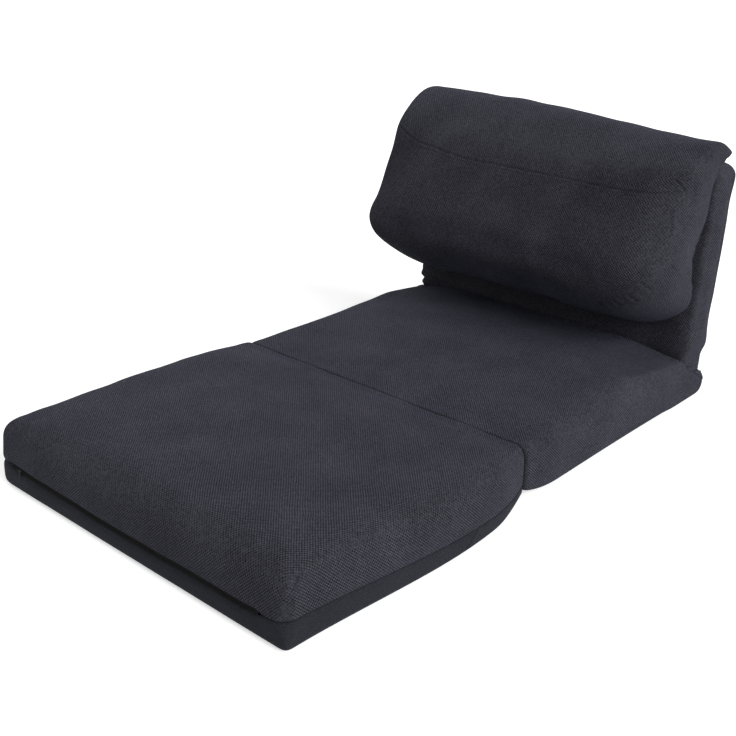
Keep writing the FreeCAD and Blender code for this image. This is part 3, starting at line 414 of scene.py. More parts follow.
def threads(name, centres, ways, normals, length, thick, dip, finish):
    """Short rounded threads or teeth: each lies along its way, with its ends dipped below its middle."""
    points, faces = [], []
    rounds, stations = 6, ((-0.5, 0.25), (-0.38, 0.8), (0.0, 1.0), (0.38, 0.8), (0.5, 0.25))
    for centre, way, normal, side in zip(centres, ways, normals, np.cross(normals, ways)):
        base = len(points)
        for share, size in stations:
            middle = centre + way * (share * length) - normal * (dip * (2 * share) ** 2)
            for k in range(rounds):
                turn = 2 * math.pi * k / rounds
                points.append(middle + (side * math.cos(turn) + normal * math.sin(turn)) * thick / 2 * size)
        for s in range(len(stations) - 1):
            for k in range(rounds):
                near, beside = base + s * rounds + k, base + s * rounds + (k + 1) % rounds
                faces.append((near, near + rounds, beside + rounds, beside))
        faces.append([base + k for k in range(rounds)])
        faces.append([base + (len(stations) - 1) * rounds + k for k in range(rounds)][::-1])
    return new_piece(name, points, faces, finish)


def stitch_row(name, skin, path, finish, pitch=5.0, length=3.6, thick=0.9):
    """A row of stitches that lie along a path on a skin."""
    count = max(int(path_length(np.asarray(path, float)) / pitch), 2)
    places = smooth_path(path, count * 2 + 1)
    centres, normals = laid_on(skin, places[1::2])
    ways = places[2::2] - places[:-2:2]
    ways -= np.sum(ways * normals, 1)[:, None] * normals
    ways /= np.maximum(np.linalg.norm(ways, axis=1), 1e-9)[:, None]
    return threads(name, centres, ways, normals, length, thick, thick * 0.8, finish)


def pin_levels(rows, across, along, first_cap, last_cap):
    """How firmly each point of a closed loft is held: a level for each row, and one for each end grid."""
    ring, cap = 2 * (across + along), (across - 1) * (along - 1)
    levels = np.repeat(np.asarray(rows, float), ring)
    return np.concatenate([levels, np.full(cap, first_cap), np.full(cap, last_cap)])


# Leg section: two tiers that meet at the waist, with the zip in the front of it

LEG_FRONT = -926.0
LEG_REAR = FOLD[1] + 3.0
LEG_HALF = 385.0
# how much wider it is at its fullest, and how much more on the left
LEG_BULGE = 23.0
LEFT_FULLNESS = 8.0
LEG_TOP = 135.0
LEG_JOINT_TOP = 116.5
# the undersides curve up off the floor towards the joint, over this run
LEG_UNDERSIDE_RISE = 24.0
UNDERSIDE_RUN = 110.0
# the level that the two tiers meet at before the waist is bent to its real height
WAIST = 46.0
LEG_ACROSS, LEG_ALONG = 112, 86
# how far each lip of the zip's opening is from the waist's middle
LIP_GAP = 6.0
LOWER_HEIGHTS = (0, 0.6, 2.5, 5.5, 9.5, 14, 22, 30, 36, 40, 43, 45, 46)
UPPER_HEIGHTS = (46, 47, 49, 52, 56, 61, 67, 74, 82, 90, 98, 106, 113, 119, 124, 128, 131, 133, 134)
ZIP_MIDDLE, ZIP_HALF = -20.0, 344.0


def leg_half_width(y):
    """The leg section swells sideways, most a third of the way from the joint."""
    t = np.clip((y - LEG_FRONT) / (LEG_REAR - LEG_FRONT), 0, 1)
    return LEG_HALF + LEG_BULGE * np.sin(t ** 1.5 * math.pi) - 8 * ease(0.8, 1.0, t)


def zip_opening(x, y):
    """1 where the waist is open for the zip, 0 where it is sewn shut."""
    return ease(ZIP_HALF + 9, ZIP_HALF - 9, np.abs(x - ZIP_MIDDLE)) * ease(LEG_FRONT + 60, LEG_FRONT + 30, y)


def leg_underside(y):
    """The underside curves up off the floor towards the joint."""
    return LEG_UNDERSIDE_RISE * np.clip((y - LEG_REAR + UNDERSIDE_RUN) / UNDERSIDE_RUN, 0, 1) ** 2


def leg_waist_height(x, y):
    """The waist seam sinks along the sides to the rear and rises at the front corners."""
    share = np.abs(x) / (LEG_HALF + 1)
    side = 57 - 0.047 * (y - LEG_FRONT) + 9 * ease(LEG_REAR - 45, LEG_REAR, y)
    front = 43 + 5 * share ** 2 + 8 * share ** 10 + 1.3 * ripple(x * 0.016, 2)
    return front + (side - front) * ease(8, 64, y - LEG_FRONT)


def leg_top_height(y):
    """The top falls towards the joint."""
    t = (y - LEG_FRONT) / (LEG_REAR - LEG_FRONT)
    return LEG_TOP - (LEG_TOP - LEG_JOINT_TOP) * ease(0.12, 1.0, t)


def leg_ring(height, lower):
    """One level outline of the leg section's lower or upper tier."""
    a, b = square_border(LEG_ACROSS, LEG_ALONG)
    from_seam = abs(height - WAIST)
    rightward = ease(-1, -0.3, a)
    if lower:
        front = side = round_over(height, 15, 15)
        joint = round_over(height, 10, 9)
        corner = 11 + (2 + 15 * rightward) * ease(20, WAIST, height)
    else:
        front = round_over(LEG_TOP - height, 38 + 14 * rightward, 30 + 26 * rightward)
        side = round_over(LEG_TOP - height, 28, 20)
        joint = round_over(LEG_TOP - height, 4, 3.5)
        corner = 13 + 15 * rightward + (0.2 + 0.2 * rightward) * front
    front = front + round_over(from_seam, 11, 6.5)
    side += round_over(from_seam, 8, 3.5)
    half = LEG_HALF - side
    x, y = rounded_outline(a, b, half, LEG_FRONT + front, LEG_REAR - joint, corner, 9)
    x = x * (leg_half_width(y) - side) / half - LEFT_FULLNESS * ease(100, -380, x)
    waist, gap = leg_waist_height(x, y), zip_opening(x, y) * LIP_GAP
    if lower:
        floor = leg_underside(y)
        z = floor + (waist - floor) * height / WAIST - gap * ease(24, 44, height)
    else:
        z = waist + (leg_top_height(y) - waist) * (height - WAIST) / (LEG_TOP - WAIST)
        z = z + gap * ease(76, 49, height)
    return np.stack([x, y, z], 1)


def make_leg_lower(finish):
    """The lower tier's cover."""
    rings = [leg_ring(h, True) for h in LOWER_HEIGHTS]
    piece = closed_loft("leg_lower_cover", rings, LEG_ACROSS, LEG_ALONG, finish)
    held = pin_levels([1, 1] + [0] * 9 + [1, 1], LEG_ACROSS, LEG_ALONG, 1, 1)
    points = points_of(piece)
    swell(piece, np.maximum(held, ease(LEG_REAR - 40, LEG_REAR - 10, points[:, 1])), 5)
    subdivide(piece)
    soften(piece, 0.8, 150, 4, keep_below=8)
    for side in (-1, 1):
        join = [(side * leg_half_width(y), y, leg_waist_height(LEG_HALF, y) * share)
                for y, share in ((-466, 1.3), (-497, 0.9), (-528, 0.25))]
        press_line(piece, join, 4, 1.6, taper=12)
    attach(piece, "leg_section")
    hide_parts("leg_cover_bottom")
    return piece


def make_leg_upper(finish):
    """The upper tier's cover: soft over the front, fuller than the lower one."""
    rings = [leg_ring(h, False) for h in UPPER_HEIGHTS]
    piece = closed_loft("leg_upper_cover", rings, LEG_ACROSS, LEG_ALONG, finish)
    held = pin_levels([1, 1, 0.5] + [0] * 16, LEG_ACROSS, LEG_ALONG, 1, 0)
    points = points_of(piece)
    swell(piece, np.maximum(held, ease(LEG_REAR - 36, LEG_REAR - 8, points[:, 1])), 8)
    subdivide(piece)
    soften(piece, 1.4, 190, 1, keep_below=60)
    top = leg_top_height(-445) + 4
    left_crease = smooth_path([(-330, -434, top), (-262, -441, top), (-185, -455, top)], 30)
    press_line(piece, left_crease, 9, 1.4, taper=50)
    right_crease = smooth_path([(240, -352, top - 4), (290, -362, top - 4), (352, -352, top - 8)], 24)
    press_line(piece, right_crease, 8, 1.5, taper=30)
    # the soft upright folds beside the front corners, a little deeper on the right
    corner = ((372, -884, 124), (381, -905, 100), (378, -914, 74), (373, -917, 58))
    beside = ((392, -862, 112), (392, -886, 86), (389, -897, 62))
    for side, height in ((1, 1.0), (-1, 0.8)):
        press_line(piece, smooth_path(sided(side, corner), 24), 9, 2.2 * height, taper=20)
        press_line(piece, smooth_path(sided(side, beside), 20), 7, 1.2 * height, taper=20)
    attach(piece, "leg_section")
    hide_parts("leg_cover_top", "leg_foam")
    return piece


def make_leg_stitches(upper, lower, finish):
    """Topstitching above and below the side seams."""
    for piece, lift, label in ((upper, 9, "upper"), (lower, -8, "lower")):
        skin = skin_of(piece)
        for side, name in ((-1, "left"), (1, "right")):
            path = [(side * (leg_half_width(y) + 2), y, leg_waist_height(LEG_HALF, y) + lift)
                    for y in np.linspace(LEG_FRONT + 40, LEG_REAR - 30, 40)]
            row = stitch_row(f"leg_stitches_{label}_{name}", skin, path, finish)
            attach(row, "leg_section")


# Zip: a tape behind the waist's open lips, with two rows of coil teeth

ZIP_ENDS = (-362.0, 322.0)
TAPE_HALF = 11.0
# the rear of the tape and the middle of the coil, in Y
TAPE_Y = -919.8
COIL_Y = -922.2
TOOTH_PITCH = 1.5


def make_zip(finish):
    """The zip's tape and its coil."""
    places = np.linspace(*ZIP_ENDS, 150)
    heights = leg_waist_height(places, np.full_like(places, LEG_FRONT))
    rows = [[(x, TAPE_Y - 0.9 * math.cos(v * 1.4), z + v * TAPE_HALF) for v in np.linspace(-1, 1, 9)]
            for x, z in zip(places, heights)]
    tape = strip("zip_tape_cloth", rows, 0.8, finish)
    turns = np.arange(ZIP_ENDS[0] + 4, ZIP_ENDS[1] - 4, TOOTH_PITCH)
    middles = leg_waist_height(turns, np.full_like(turns, LEG_FRONT))
    tooth_side = np.where(np.arange(len(turns)) % 2, 1.0, -1.0)
    centres = np.stack([turns, np.full_like(turns, COIL_Y), middles + 1.5 * tooth_side], 1)
    coil = threads("zip_coil_teeth", centres, np.tile((0, 0, 1.0), (len(turns), 1)),
                   np.tile((0, -1.0, 0), (len(turns), 1)), 5.2, 1.5, 0.6, finish)
    for piece, node in ((tape, "zip_tape"), (coil, "zip_coil")):
        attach(piece, "leg_section")
        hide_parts(node)


# Seat: one cover with a horn of cloth at each rear corner that wraps the backrest's end

SEAT_FRONT = FOLD[1] + 5.0
SEAT_HALF = 380.0
SEAT_TOP = 115.5
SEAT_UNDERSIDE_RISE = 22.0
SEAT_ACROSS, SEAT_ALONG = 116, 92
SEAT_HEIGHTS = (0, 0.8, 3, 6, 10, 15, *range(21, 100, 6), 104, 108, 111, 113.5, 115, 115.5)
# the side of the seat, where its seams and folds run
SEAT_SIDE = 381.0
# the low side seam, as Y and Z
SEAT_SEAM = ((-300, 54), (-208, 45), (-66, 31), (89, 17), (224, 9))
# half of the backrest's thickness, and the hollow that its round lower end turns in
BACK_HALF = 43.0
HOLLOW = BACK_HALF + 1.5
# the inner wall of each horn
HORN_INNER = 372.8
# how far back the horn reaches, as Z and Y
HORN = ((0, 312), (0.8, 336), (6, 350), (14, 358), (26, 362),
        (38, 361), (48, 355), (56, 343), (75, 312), (99, 272))


def seat_rear_edge(height):
    """How far back the seat reaches at a height: round the backrest's lower end, then up its face."""
    tangent_z = PIVOT[2] + HOLLOW * math.sin(BACK_LEAN)
    tangent_y = PIVOT[1] - HOLLOW * math.cos(BACK_LEAN)
    if height >= tangent_z:
        return tangent_y + (height - tangent_z) * math.tan(BACK_LEAN)
    drop = min((PIVOT[2] - height) / HOLLOW, 0.999)
    return PIVOT[1] - HOLLOW * math.cos(math.asin(drop))


def seat_ring(height):
    """One level outline of the seat."""
    a, b = square_border(SEAT_ACROSS, SEAT_ALONG)
    front = SEAT_FRONT + round_over(SEAT_TOP - height, 4, 3) + round_over(height, 10, 9)
    rear = seat_rear_edge(height) - float(round_over(SEAT_TOP - height, 12, 6))
    back = max(rear, float(np.interp(height, *zip(*HORN))))
    x, y = rounded_outline(a, b, SEAT_HALF, front, back, 9, 3)
    # the rear runs round one horn, along the backrest and round the other horn
    route = np.array([(SEAT_HALF, back), (HORN_INNER, back), (HORN_INNER, rear)])
    route = np.concatenate([route, route[::-1] * (-1, 1)])
    along = np.concatenate([[0], np.cumsum(np.linalg.norm(np.diff(route, axis=0), axis=1))])
    where = np.linspace(0, along[-1], SEAT_ACROSS + 1)[:-1]
    rear_side = slice(SEAT_ACROSS + SEAT_ALONG, 2 * SEAT_ACROSS + SEAT_ALONG)
    x[rear_side] = np.interp(where, along, route[:, 0])
    y[rear_side] = np.interp(where, along, route[:, 1])
    side = round_over(SEAT_TOP - height, 30, 21) + round_over(height, 13, 15 - 9 * ease(180, 240, y))
    x = x * (SEAT_HALF - side) / SEAT_HALF
    inner_wall = (y > rear + 2) & (np.abs(a * SEAT_HALF) < SEAT_HALF) & (b > 0)
    x = np.where(inner_wall, np.sign(x) * np.maximum(np.abs(x), HORN_INNER), x)
    floor = SEAT_UNDERSIDE_RISE * np.clip((SEAT_FRONT + UNDERSIDE_RUN - y) / UNDERSIDE_RUN, 0, 1) ** 2
    droop = 17 * ease(60, SEAT_TOP, height) * ease(225, 372, np.abs(x)) * ease(130, 276, y)
    return np.stack([x, y, floor + (SEAT_TOP - floor) * height / SEAT_TOP - droop], 1)


def seat_side_path(side, places, count):
    """A smooth path along one side of the seat through places given by Y and Z."""
    return smooth_path(sided(side, [(SEAT_SIDE, y, z) for y, z in places]), count)


def make_seat(finish):
    """The seat's cover, its low side seam and the folds of its rear corners."""
    rings = [seat_ring(h) for h in SEAT_HEIGHTS]
    piece = closed_loft("seat_cushion", rings, SEAT_ACROSS, SEAT_ALONG, finish)
    held = pin_levels([1, 1] + [0] * (len(SEAT_HEIGHTS) - 2), SEAT_ACROSS, SEAT_ALONG, 1, 0)
    points = points_of(piece)
    joint = ease(SEAT_FRONT + 36, SEAT_FRONT + 8, points[:, 1])
    rear = ease(236, 268, points[:, 1])
    swell(piece, np.maximum.reduce([held, joint, rear]), 7)
    subdivide(piece)
    soften(piece, 1.3, 170, 7, keep_below=20)
    top = SEAT_TOP + 5
    left_crease = smooth_path([(-365, -160, top), (-300, -168, top), (-212, -178, top)], 30)
    press_line(piece, left_crease, 9, 1.3, taper=50)
    right_crease = smooth_path([(305, -262, top), (342, -236, top - 3), (352, -190, top - 4)], 30)
    press_line(piece, right_crease, 9, 1.4, taper=25)
    fold = ((296, 74), (318, 57), (341, 41), (362, 24))
    crease = ((282, 262, 120), (330, 263, 112), (366, 264, 102),
              (381, 276, 92), (382, 306, 74), (382, 344, 54))
    short = ((268, 66), (290, 55), (312, 38))
    for side in (-1, 1):
        press_line(piece, seat_side_path(side, SEAT_SEAM, 90), 4.5, 1.8)
        press_line(piece, seat_side_path(side, fold, 30), 5, 3.0, lips=0.5, taper=8)
        press_line(piece, smooth_path(sided(side, crease), 70), 5, 3.4, lips=0.5, taper=20)
        press_line(piece, seat_side_path(side, short, 20), 6, 1.5, taper=14)
    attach(piece, "seat")
    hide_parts("seat_cover_top", "seat_foam_top", "seat_cover_bottom", "seat_foam_base",
                "side_gusset_left", "side_gusset_right")
    return piece


def make_seat_stitches(seat, finish):
    """Topstitching beside the seat's low seams."""
    skin = skin_of(seat)
    for side, name in ((-1, "left"), (1, "right")):
        for lift, label in ((6, "upper"), (-6, "lower")):
            path = seat_side_path(side, [(y, z + lift) for y, z in SEAT_SEAM[:-1]], 60)
            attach(stitch_row(f"seat_stitches_{label}_{name}", skin, path, finish), "seat")


JOINT_HALF = 366.0


def make_joint_cloth(finish):
    """The cloth hinge in the line between the leg section and the seat: it sags between its edges."""
    middle = (LEG_REAR + SEAT_FRONT) / 2
    rows = []
    for x in np.linspace(-JOINT_HALF, JOINT_HALF, 120):
        wave = 0.5 * float(ripple(x * 0.05, 4))
        rows.append([(x, middle + v * 8, 110.5 - 3 * (1 - v * v) + wave) for v in np.linspace(-1, 1, 9)])
    piece = strip("joint_cloth", rows, 1.4, finish)
    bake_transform(piece)
    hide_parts("hinge_strip")


# Backrest, drawn upright and then leaned

BACK_LENGTH = 475.0
BACK_ACROSS, BACK_ALONG = 108, 14
BACK_CORNER = 32.0


def back_ring(above, inset):
    """One level outline of the upright backrest; inset draws its sides in near the top corners."""
    a, b = square_border(BACK_ACROSS, BACK_ALONG)
    if above < 0:
        depth = BACK_HALF * math.sqrt(max(1 - (above / BACK_HALF) ** 2, 0.0))
    else:
        depth = BACK_HALF - float(round_over(BACK_LENGTH - above, 24, 24))
    depth = max(depth, 8)
    # narrower between the horns, widest just above them
    half = 370.5 + 10 * float(ease(42, 80, above)) - 3.5 * float(ease(250, BACK_LENGTH, above)) - inset
    corner = min(10, depth * 0.9)
    x, y = rounded_outline(a, b, half, -depth, depth, corner, corner)
    return np.stack([x, PIVOT[1] + y, np.full_like(x, PIVOT[2] + above)], 1)


def make_backrest(finish):
    """The backrest's cover."""
    heights = [-42.6, -40, -35, -28, -20, -11, 0, *range(7, int(BACK_LENGTH - BACK_CORNER), 7)]
    rings = [back_ring(height, 0) for height in heights]
    for step in range(1, 13):
        angle = step / 12 * math.pi / 2
        above = BACK_LENGTH - BACK_CORNER * (1 - math.sin(angle) * 0.998)
        rings.append(back_ring(above, BACK_CORNER * (1 - math.cos(angle)) * 0.9))
    piece = closed_loft("backrest_cushion", rings, BACK_ACROSS, BACK_ALONG, finish)
    points = points_of(piece)
    swell(piece, ease(PIVOT[2] + 60, PIVOT[2] + 25, points[:, 2]), 5)
    subdivide(piece)
    soften(piece, 1.2, 160, 3, keep_below=130)
    # wrinkles where the cover is gathered at its lower left
    face = PIVOT[1] - BACK_HALF - 2
    for height, reach, depth in ((88, 120, 3.4), (108, 90, 3.0), (129, 70, 2.4)):
        wrinkle = [(-376, face + 30, height), (-366, face, height + 2),
                   (-376 + reach * 0.6, face, height - 4), (-376 + reach, face, height - 9)]
        press_line(piece, smooth_path(wrinkle, 40), 9, depth, lips=0.6, taper=14)
    # the seam round the sides and the top, behind the middle
    seam_y = PIVOT[1] + 24
    high = PIVOT[2] + BACK_LENGTH
    left = [(-377, seam_y, 118), (-377, seam_y, high - 60), (-372, seam_y - 3, high - 22),
            (-345, seam_y - 8, high)]
    right = sided(-1, left[::-1])
    press_line(piece, smooth_path(left + [(0, seam_y - 8, high + 2)] + right, 260), 4.5, 1.8)
    set_points(piece, leaned(points_of(piece)))
    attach(piece, "backrest")
    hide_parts("back_cover_front", "back_cover_rear", "back_foam_front", "back_foam_rear")


GUSSET_HALF = 372.6


def make_rear_gusset(finish):
    """Slack cloth behind the backrest's lower end, from the seat's underside up to a loose hem."""
    places = [(330, 1.2), (342, 1.6), (353, 8), (359, 19), (359.5, 30), (361.5, 41), (360, 48)]
    profile = smooth_path(places, 22)
    rows = [[(x, y + 0.9 * float(ripple(x * 0.03 + z * 0.1, 6)) * z / 48, z) for y, z in profile]
            for x in np.linspace(-GUSSET_HALF, GUSSET_HALF, 110)]
    piece = strip("rear_gusset_cloth", rows, -1.4, finish)
    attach(piece, "seat")
    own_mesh(piece)
    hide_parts("rear_gusset")


# Pillow: a drop-shaped section drawn from end to end

PILLOW_RIGHT, PILLOW_LEFT = 377.0, -391.0
PILLOW_ACROSS, PILLOW_ALONG = 62, 36
# the section in Y and Z at rest: up the backrest's face, over its top, round the crest and down the front
PILLOW_SECTION = (
    (284, 170), (287, 210), (292, 270), (300, 350), (309, 430), (318, 500), (327, 528), (352, 526),
    (378, 527), (381, 545), (368, 570), (337, 588), (296, 592), (250, 573), (211, 546), (184, 514),
    (160, 466), (135, 413), (111, 364), (93, 325), (86, 292), (97, 262), (128, 234), (176, 205), (232, 181))
# the line midway between the section's front and back, as Z and Y
PILLOW_MIDDLE = ((180, 255), (205, 231), (290, 190), (466, 236), (546, 290), (590, 310))
# distances from each end at which its rounding is drawn
RIGHT_STEPS = (0, 1, 3, 6, 10, 16, 23, 31, 40, 50, 61, 73, 86)
LEFT_STEPS = (0, 0.7, 2.3, 5, 9, 14, 20, 27)


def pillow_ring(x):
    """The pillow's section at a place along it: nearly square at the left end, drawn well in at the right."""
    ring = smooth_path(PILLOW_SECTION, 2 * (PILLOW_ACROSS + PILLOW_ALONG), closed=True)
    right, left = PILLOW_RIGHT - x, x - PILLOW_LEFT
    middle = np.interp(ring[:, 1], *zip(*PILLOW_MIDDLE))
    thinned = 0.52 * float(round_over(right, 88, 1)) * ease(560, 470, ring[:, 1])
    ring[:, 0] = middle + (ring[:, 0] - middle) * (1 - thinned)
    ring = drawn_in(ring, np.full(len(ring), float(round_over(right, 12, 9) + round_over(left, 18, 12))))
    low = ease(400, 230, ring[:, 1])
    ring[:, 1] += low * (round_over(right, 125, 88) + round_over(left, 80, 27))
    ring[:, 1] += low * 5 * float(ripple(x * 0.011, 3))
    high = ease(520, 580, ring[:, 1])
    ring[:, 1] -= high * 25 * float(ease(-150, PILLOW_RIGHT, x))
    return np.stack([np.full(len(ring), x), ring[:, 0], ring[:, 1]], 1)


# the sewn line across the front, and the darts and puckers of the right end, as X and Z on the front
PILLOW_SEAM = ((-378, 518), (-350, 508), (-300, 494), (-221, 484), (-146, 478),
               (-62, 478), (95, 478), (194, 477), (309, 480), (366, 486))
DARTS = (((352, 462), (361, 432), (366, 396)), ((346, 512), (362, 496), (371, 470)))
PUCKERS = (((286, 268), (300, 246)), ((318, 288), (334, 264)),
           ((342, 318), (358, 296)), ((250, 252), (260, 234)))


def front_path(skin, places, count):
    """A smooth path on the pillow's front through places given by X and Z."""
    found = [skin.ray_cast(Vector((x, -200, z)), Vector((0, 1, 0)))[0] for x, z in smooth_path(places, count)]
    return np.array([f for f in found if f is not None])


def make_pillow(finish):
    """The pillow's cover, filled."""
    places = [PILLOW_LEFT + s for s in LEFT_STEPS]
    places += list(np.linspace(PILLOW_LEFT + 36, PILLOW_RIGHT - 94, 82))
    places += [PILLOW_RIGHT - s for s in RIGHT_STEPS[::-1]]
    rings = [pillow_ring(x) for x in places]
    piece = closed_loft("pillow_cushion", rings, PILLOW_ACROSS, PILLOW_ALONG, finish)
    points = points_of(piece)
    face = PIVOT[1] - BACK_HALF + (points[:, 2] - PIVOT[2]) * math.tan(BACK_LEAN)
    swell(piece, ease(-16, -4, points[:, 1] - face), 8)
    subdivide(piece)
    soften(piece, 1.6, 130, 2)
    skin = skin_of(piece)
    press_line(piece, front_path(skin, PILLOW_SEAM, 160), 4, 2.2, lips=0.3, taper=14)
    for dart in DARTS:
        press_line(piece, front_path(skin, dart, 24), 4, 3.0, lips=0.3, taper=12)
    for pucker in PUCKERS:
        press_line(piece, front_path(skin, pucker, 12), 6, 2.6, lips=0.6, taper=6)
    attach(piece, "pillow")
    squash_pillow(piece)
    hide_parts("pillow_cover_front", "pillow_cover_back", "pillow_filling")
    return piece


def squash_pillow(piece):
    """Give the piece a mesh of its own."""
    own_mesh(piece)


def make_pillow_stitches(pillow, finish):
    """Stitches along the pillow's sewn line, just under it."""
    skin = skin_of(pillow)
    path = front_path(skin, [(x, z - 5) for x, z in PILLOW_SEAM], 140)
    row = stitch_row("pillow_stitches", skin, path, finish)
    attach(row, "pillow")
    squash_pillow(row)


FLAP_HALF, FLAP_DEPTH = 322.0, 34.0


def make_pillow_flap(finish):
    """The flap of cloth that joins the pillow to the backrest's top."""
    bottom = BACK_LENGTH + PIVOT[2] + 2.4
    front = PIVOT[1] - 14
    rows = [[(x, y, bottom + 0.8 * float(ripple(x * 0.02 + y * 0.07, 8)))
             for y in np.linspace(front, front + FLAP_DEPTH, 9)]
            for x in np.linspace(-FLAP_HALF, FLAP_HALF, 90)]
    piece = strip("pillow_flap_cloth", leaned(rows), 1.4, finish)
    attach(piece, "pillow")
    squash_pillow(piece)
    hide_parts("pillow_flap")


# Materials

def feed(tree, node, inputs):
    """Give a node its inputs: each is a value or another node's socket."""
    for key, value in inputs.items():
        if isinstance(value, bpy.types.NodeSocket):
            tree.links.new(value, node.inputs[key])
        else:
            node.inputs[key].default_value = value


def add(tree, kind, inputs=None, **settings):
    """A new shader node with its settings and inputs."""
    made = tree.nodes.new("ShaderNode" + kind)
    for key, value in settings.items():
        setattr(made, key, value)
    feed(tree, made, inputs or {})
    return made


def new_material(name):
    """An empty node material, its tree, its shader and the place's coordinates."""
    material = bpy.data.materials.new(name)
    material.use_nodes = True
    tree = material.node_tree
    return material, tree, tree.nodes["Principled BSDF"], tree.nodes.new("ShaderNodeTexCoord")


def woven_cloth(name, dark, light, pitch, relief, roughness, sheen, mottle):
    """Cloth of crossed yarns: rows of raised and sunk dots, each a little lighter or darker than the next.

    The rows run along X, Y and Z and are laid flat on whichever way the surface faces.
    """
    material, tree, shader, place = new_material(name)
    spot = place.outputs["Object"]
    # the yarns wander a little; the sines of their counted places cross in dots
    wander = add(tree, "TexNoise", {"Vector": spot, "Scale": 30.0, "Detail": 2.0})
    centred = add(tree, "VectorMath", {0: wander.outputs["Color"], 1: (0.5, 0.5, 0.5)}, operation="SUBTRACT")
    shift = add(tree, "VectorMath", {0: centred.outputs[0], "Scale": pitch * 1.2}, operation="SCALE")
    moved = add(tree, "VectorMath", {0: spot, 1: shift.outputs[0]}, operation="ADD")
    counted = add(tree, "VectorMath", {0: moved.outputs[0], "Scale": 1 / pitch}, operation="SCALE")
    turned = add(tree, "VectorMath", {0: counted.outputs[0], "Scale": math.pi}, operation="SCALE")
    wave = add(tree, "VectorMath", {0: turned.outputs[0]}, operation="SINE")
    crossed = add(tree, "SeparateXYZ", {"Vector": wave.outputs[0]})
    facing = add(tree, "VectorMath", {0: place.outputs["Normal"]}, operation="ABSOLUTE")
    for _ in range(2):
        facing = add(tree, "VectorMath", {0: facing.outputs[0], 1: facing.outputs[0]}, operation="MULTIPLY")
    weight = add(tree, "SeparateXYZ", {"Vector": facing.outputs[0]})
    weave = 0.0
    for first, second, third in (("X", "Y", "Z"), ("X", "Z", "Y"), ("Y", "Z", "X")):
        dots = add(tree, "Math", {0: crossed.outputs[first], 1: crossed.outputs[second]},
                   operation="MULTIPLY")
        weave = add(tree, "Math", {0: dots.outputs[0], 1: weight.outputs[third], 2: weave},
                    operation="MULTIPLY_ADD").outputs[0]
    # each yarn's own height, the fuzz of the pile, and slow lighter and darker patches
    cell = add(tree, "VectorMath", {0: counted.outputs[0]}, operation="FLOOR")
    yarn = add(tree, "TexWhiteNoise", {"Vector": cell.outputs[0]}, noise_dimensions="3D")
    fuzz = add(tree, "TexNoise", {"Vector": spot, "Scale": 700.0, "Detail": 3.0, "Roughness": 0.7})
    patches = add(tree, "TexNoise", {"Vector": spot, "Scale": 9.0, "Detail": 4.0})
    raised = add(tree, "Math", {0: yarn.outputs["Value"], 1: 0.55, 2: weave}, operation="MULTIPLY_ADD")
    height = add(tree, "Math", {0: fuzz.outputs["Fac"], 1: 1.4, 2: raised.outputs[0]},
                 operation="MULTIPLY_ADD")
    tone = add(tree, "Math", {0: height.outputs[0], 1: 0.48, 2: -0.17 - mottle / 2}, operation="MULTIPLY_ADD")
    worn = add(tree, "Math", {0: patches.outputs["Fac"], 1: mottle, 2: tone.outputs[0]},
               operation="MULTIPLY_ADD")
    colour = add(tree, "Mix", {"Factor": worn.outputs[0], "A": srgb(dark), "B": srgb(light)},
                 data_type="RGBA", clamp_factor=True)
    bump = add(tree, "Bump", {"Height": height.outputs[0], "Distance": relief, "Strength": 0.7})
    feed(tree, shader, {"Base Color": colour.outputs["Result"], "Normal": bump.outputs[0], "Roughness": roughness,
                        "Sheen Weight": sheen, "Sheen Roughness": 0.45, "Sheen Tint": srgb("#8f9fd0"),
                        "Specular IOR Level": 0.15})
    return material


def grained(name, colour, other, roughness, metallic, grain, depth, gloss=0.5):
    """A plain finish with a fine grain in its colour, roughness and relief."""
    material, tree, shader, place = new_material(name)
    fine = add(tree, "TexNoise", {"Vector": place.outputs["Object"], "Scale": 1000 / grain, "Detail": 3.0})
    tint = add(tree, "Mix", {"Factor": fine.outputs["Fac"], "A": srgb(colour), "B": srgb(other)},
               data_type="RGBA")
    rough = add(tree, "Math", {0: fine.outputs["Fac"], 1: 0.15, 2: roughness - 0.07},
                operation="MULTIPLY_ADD")
    bump = add(tree, "Bump", {"Height": fine.outputs["Fac"], "Distance": depth / 1000})
    feed(tree, shader, {"Base Color": tint.outputs["Result"], "Roughness": rough.outputs[0],
                        "Normal": bump.outputs[0], "Metallic": metallic, "Specular IOR Level": gloss})
    return material


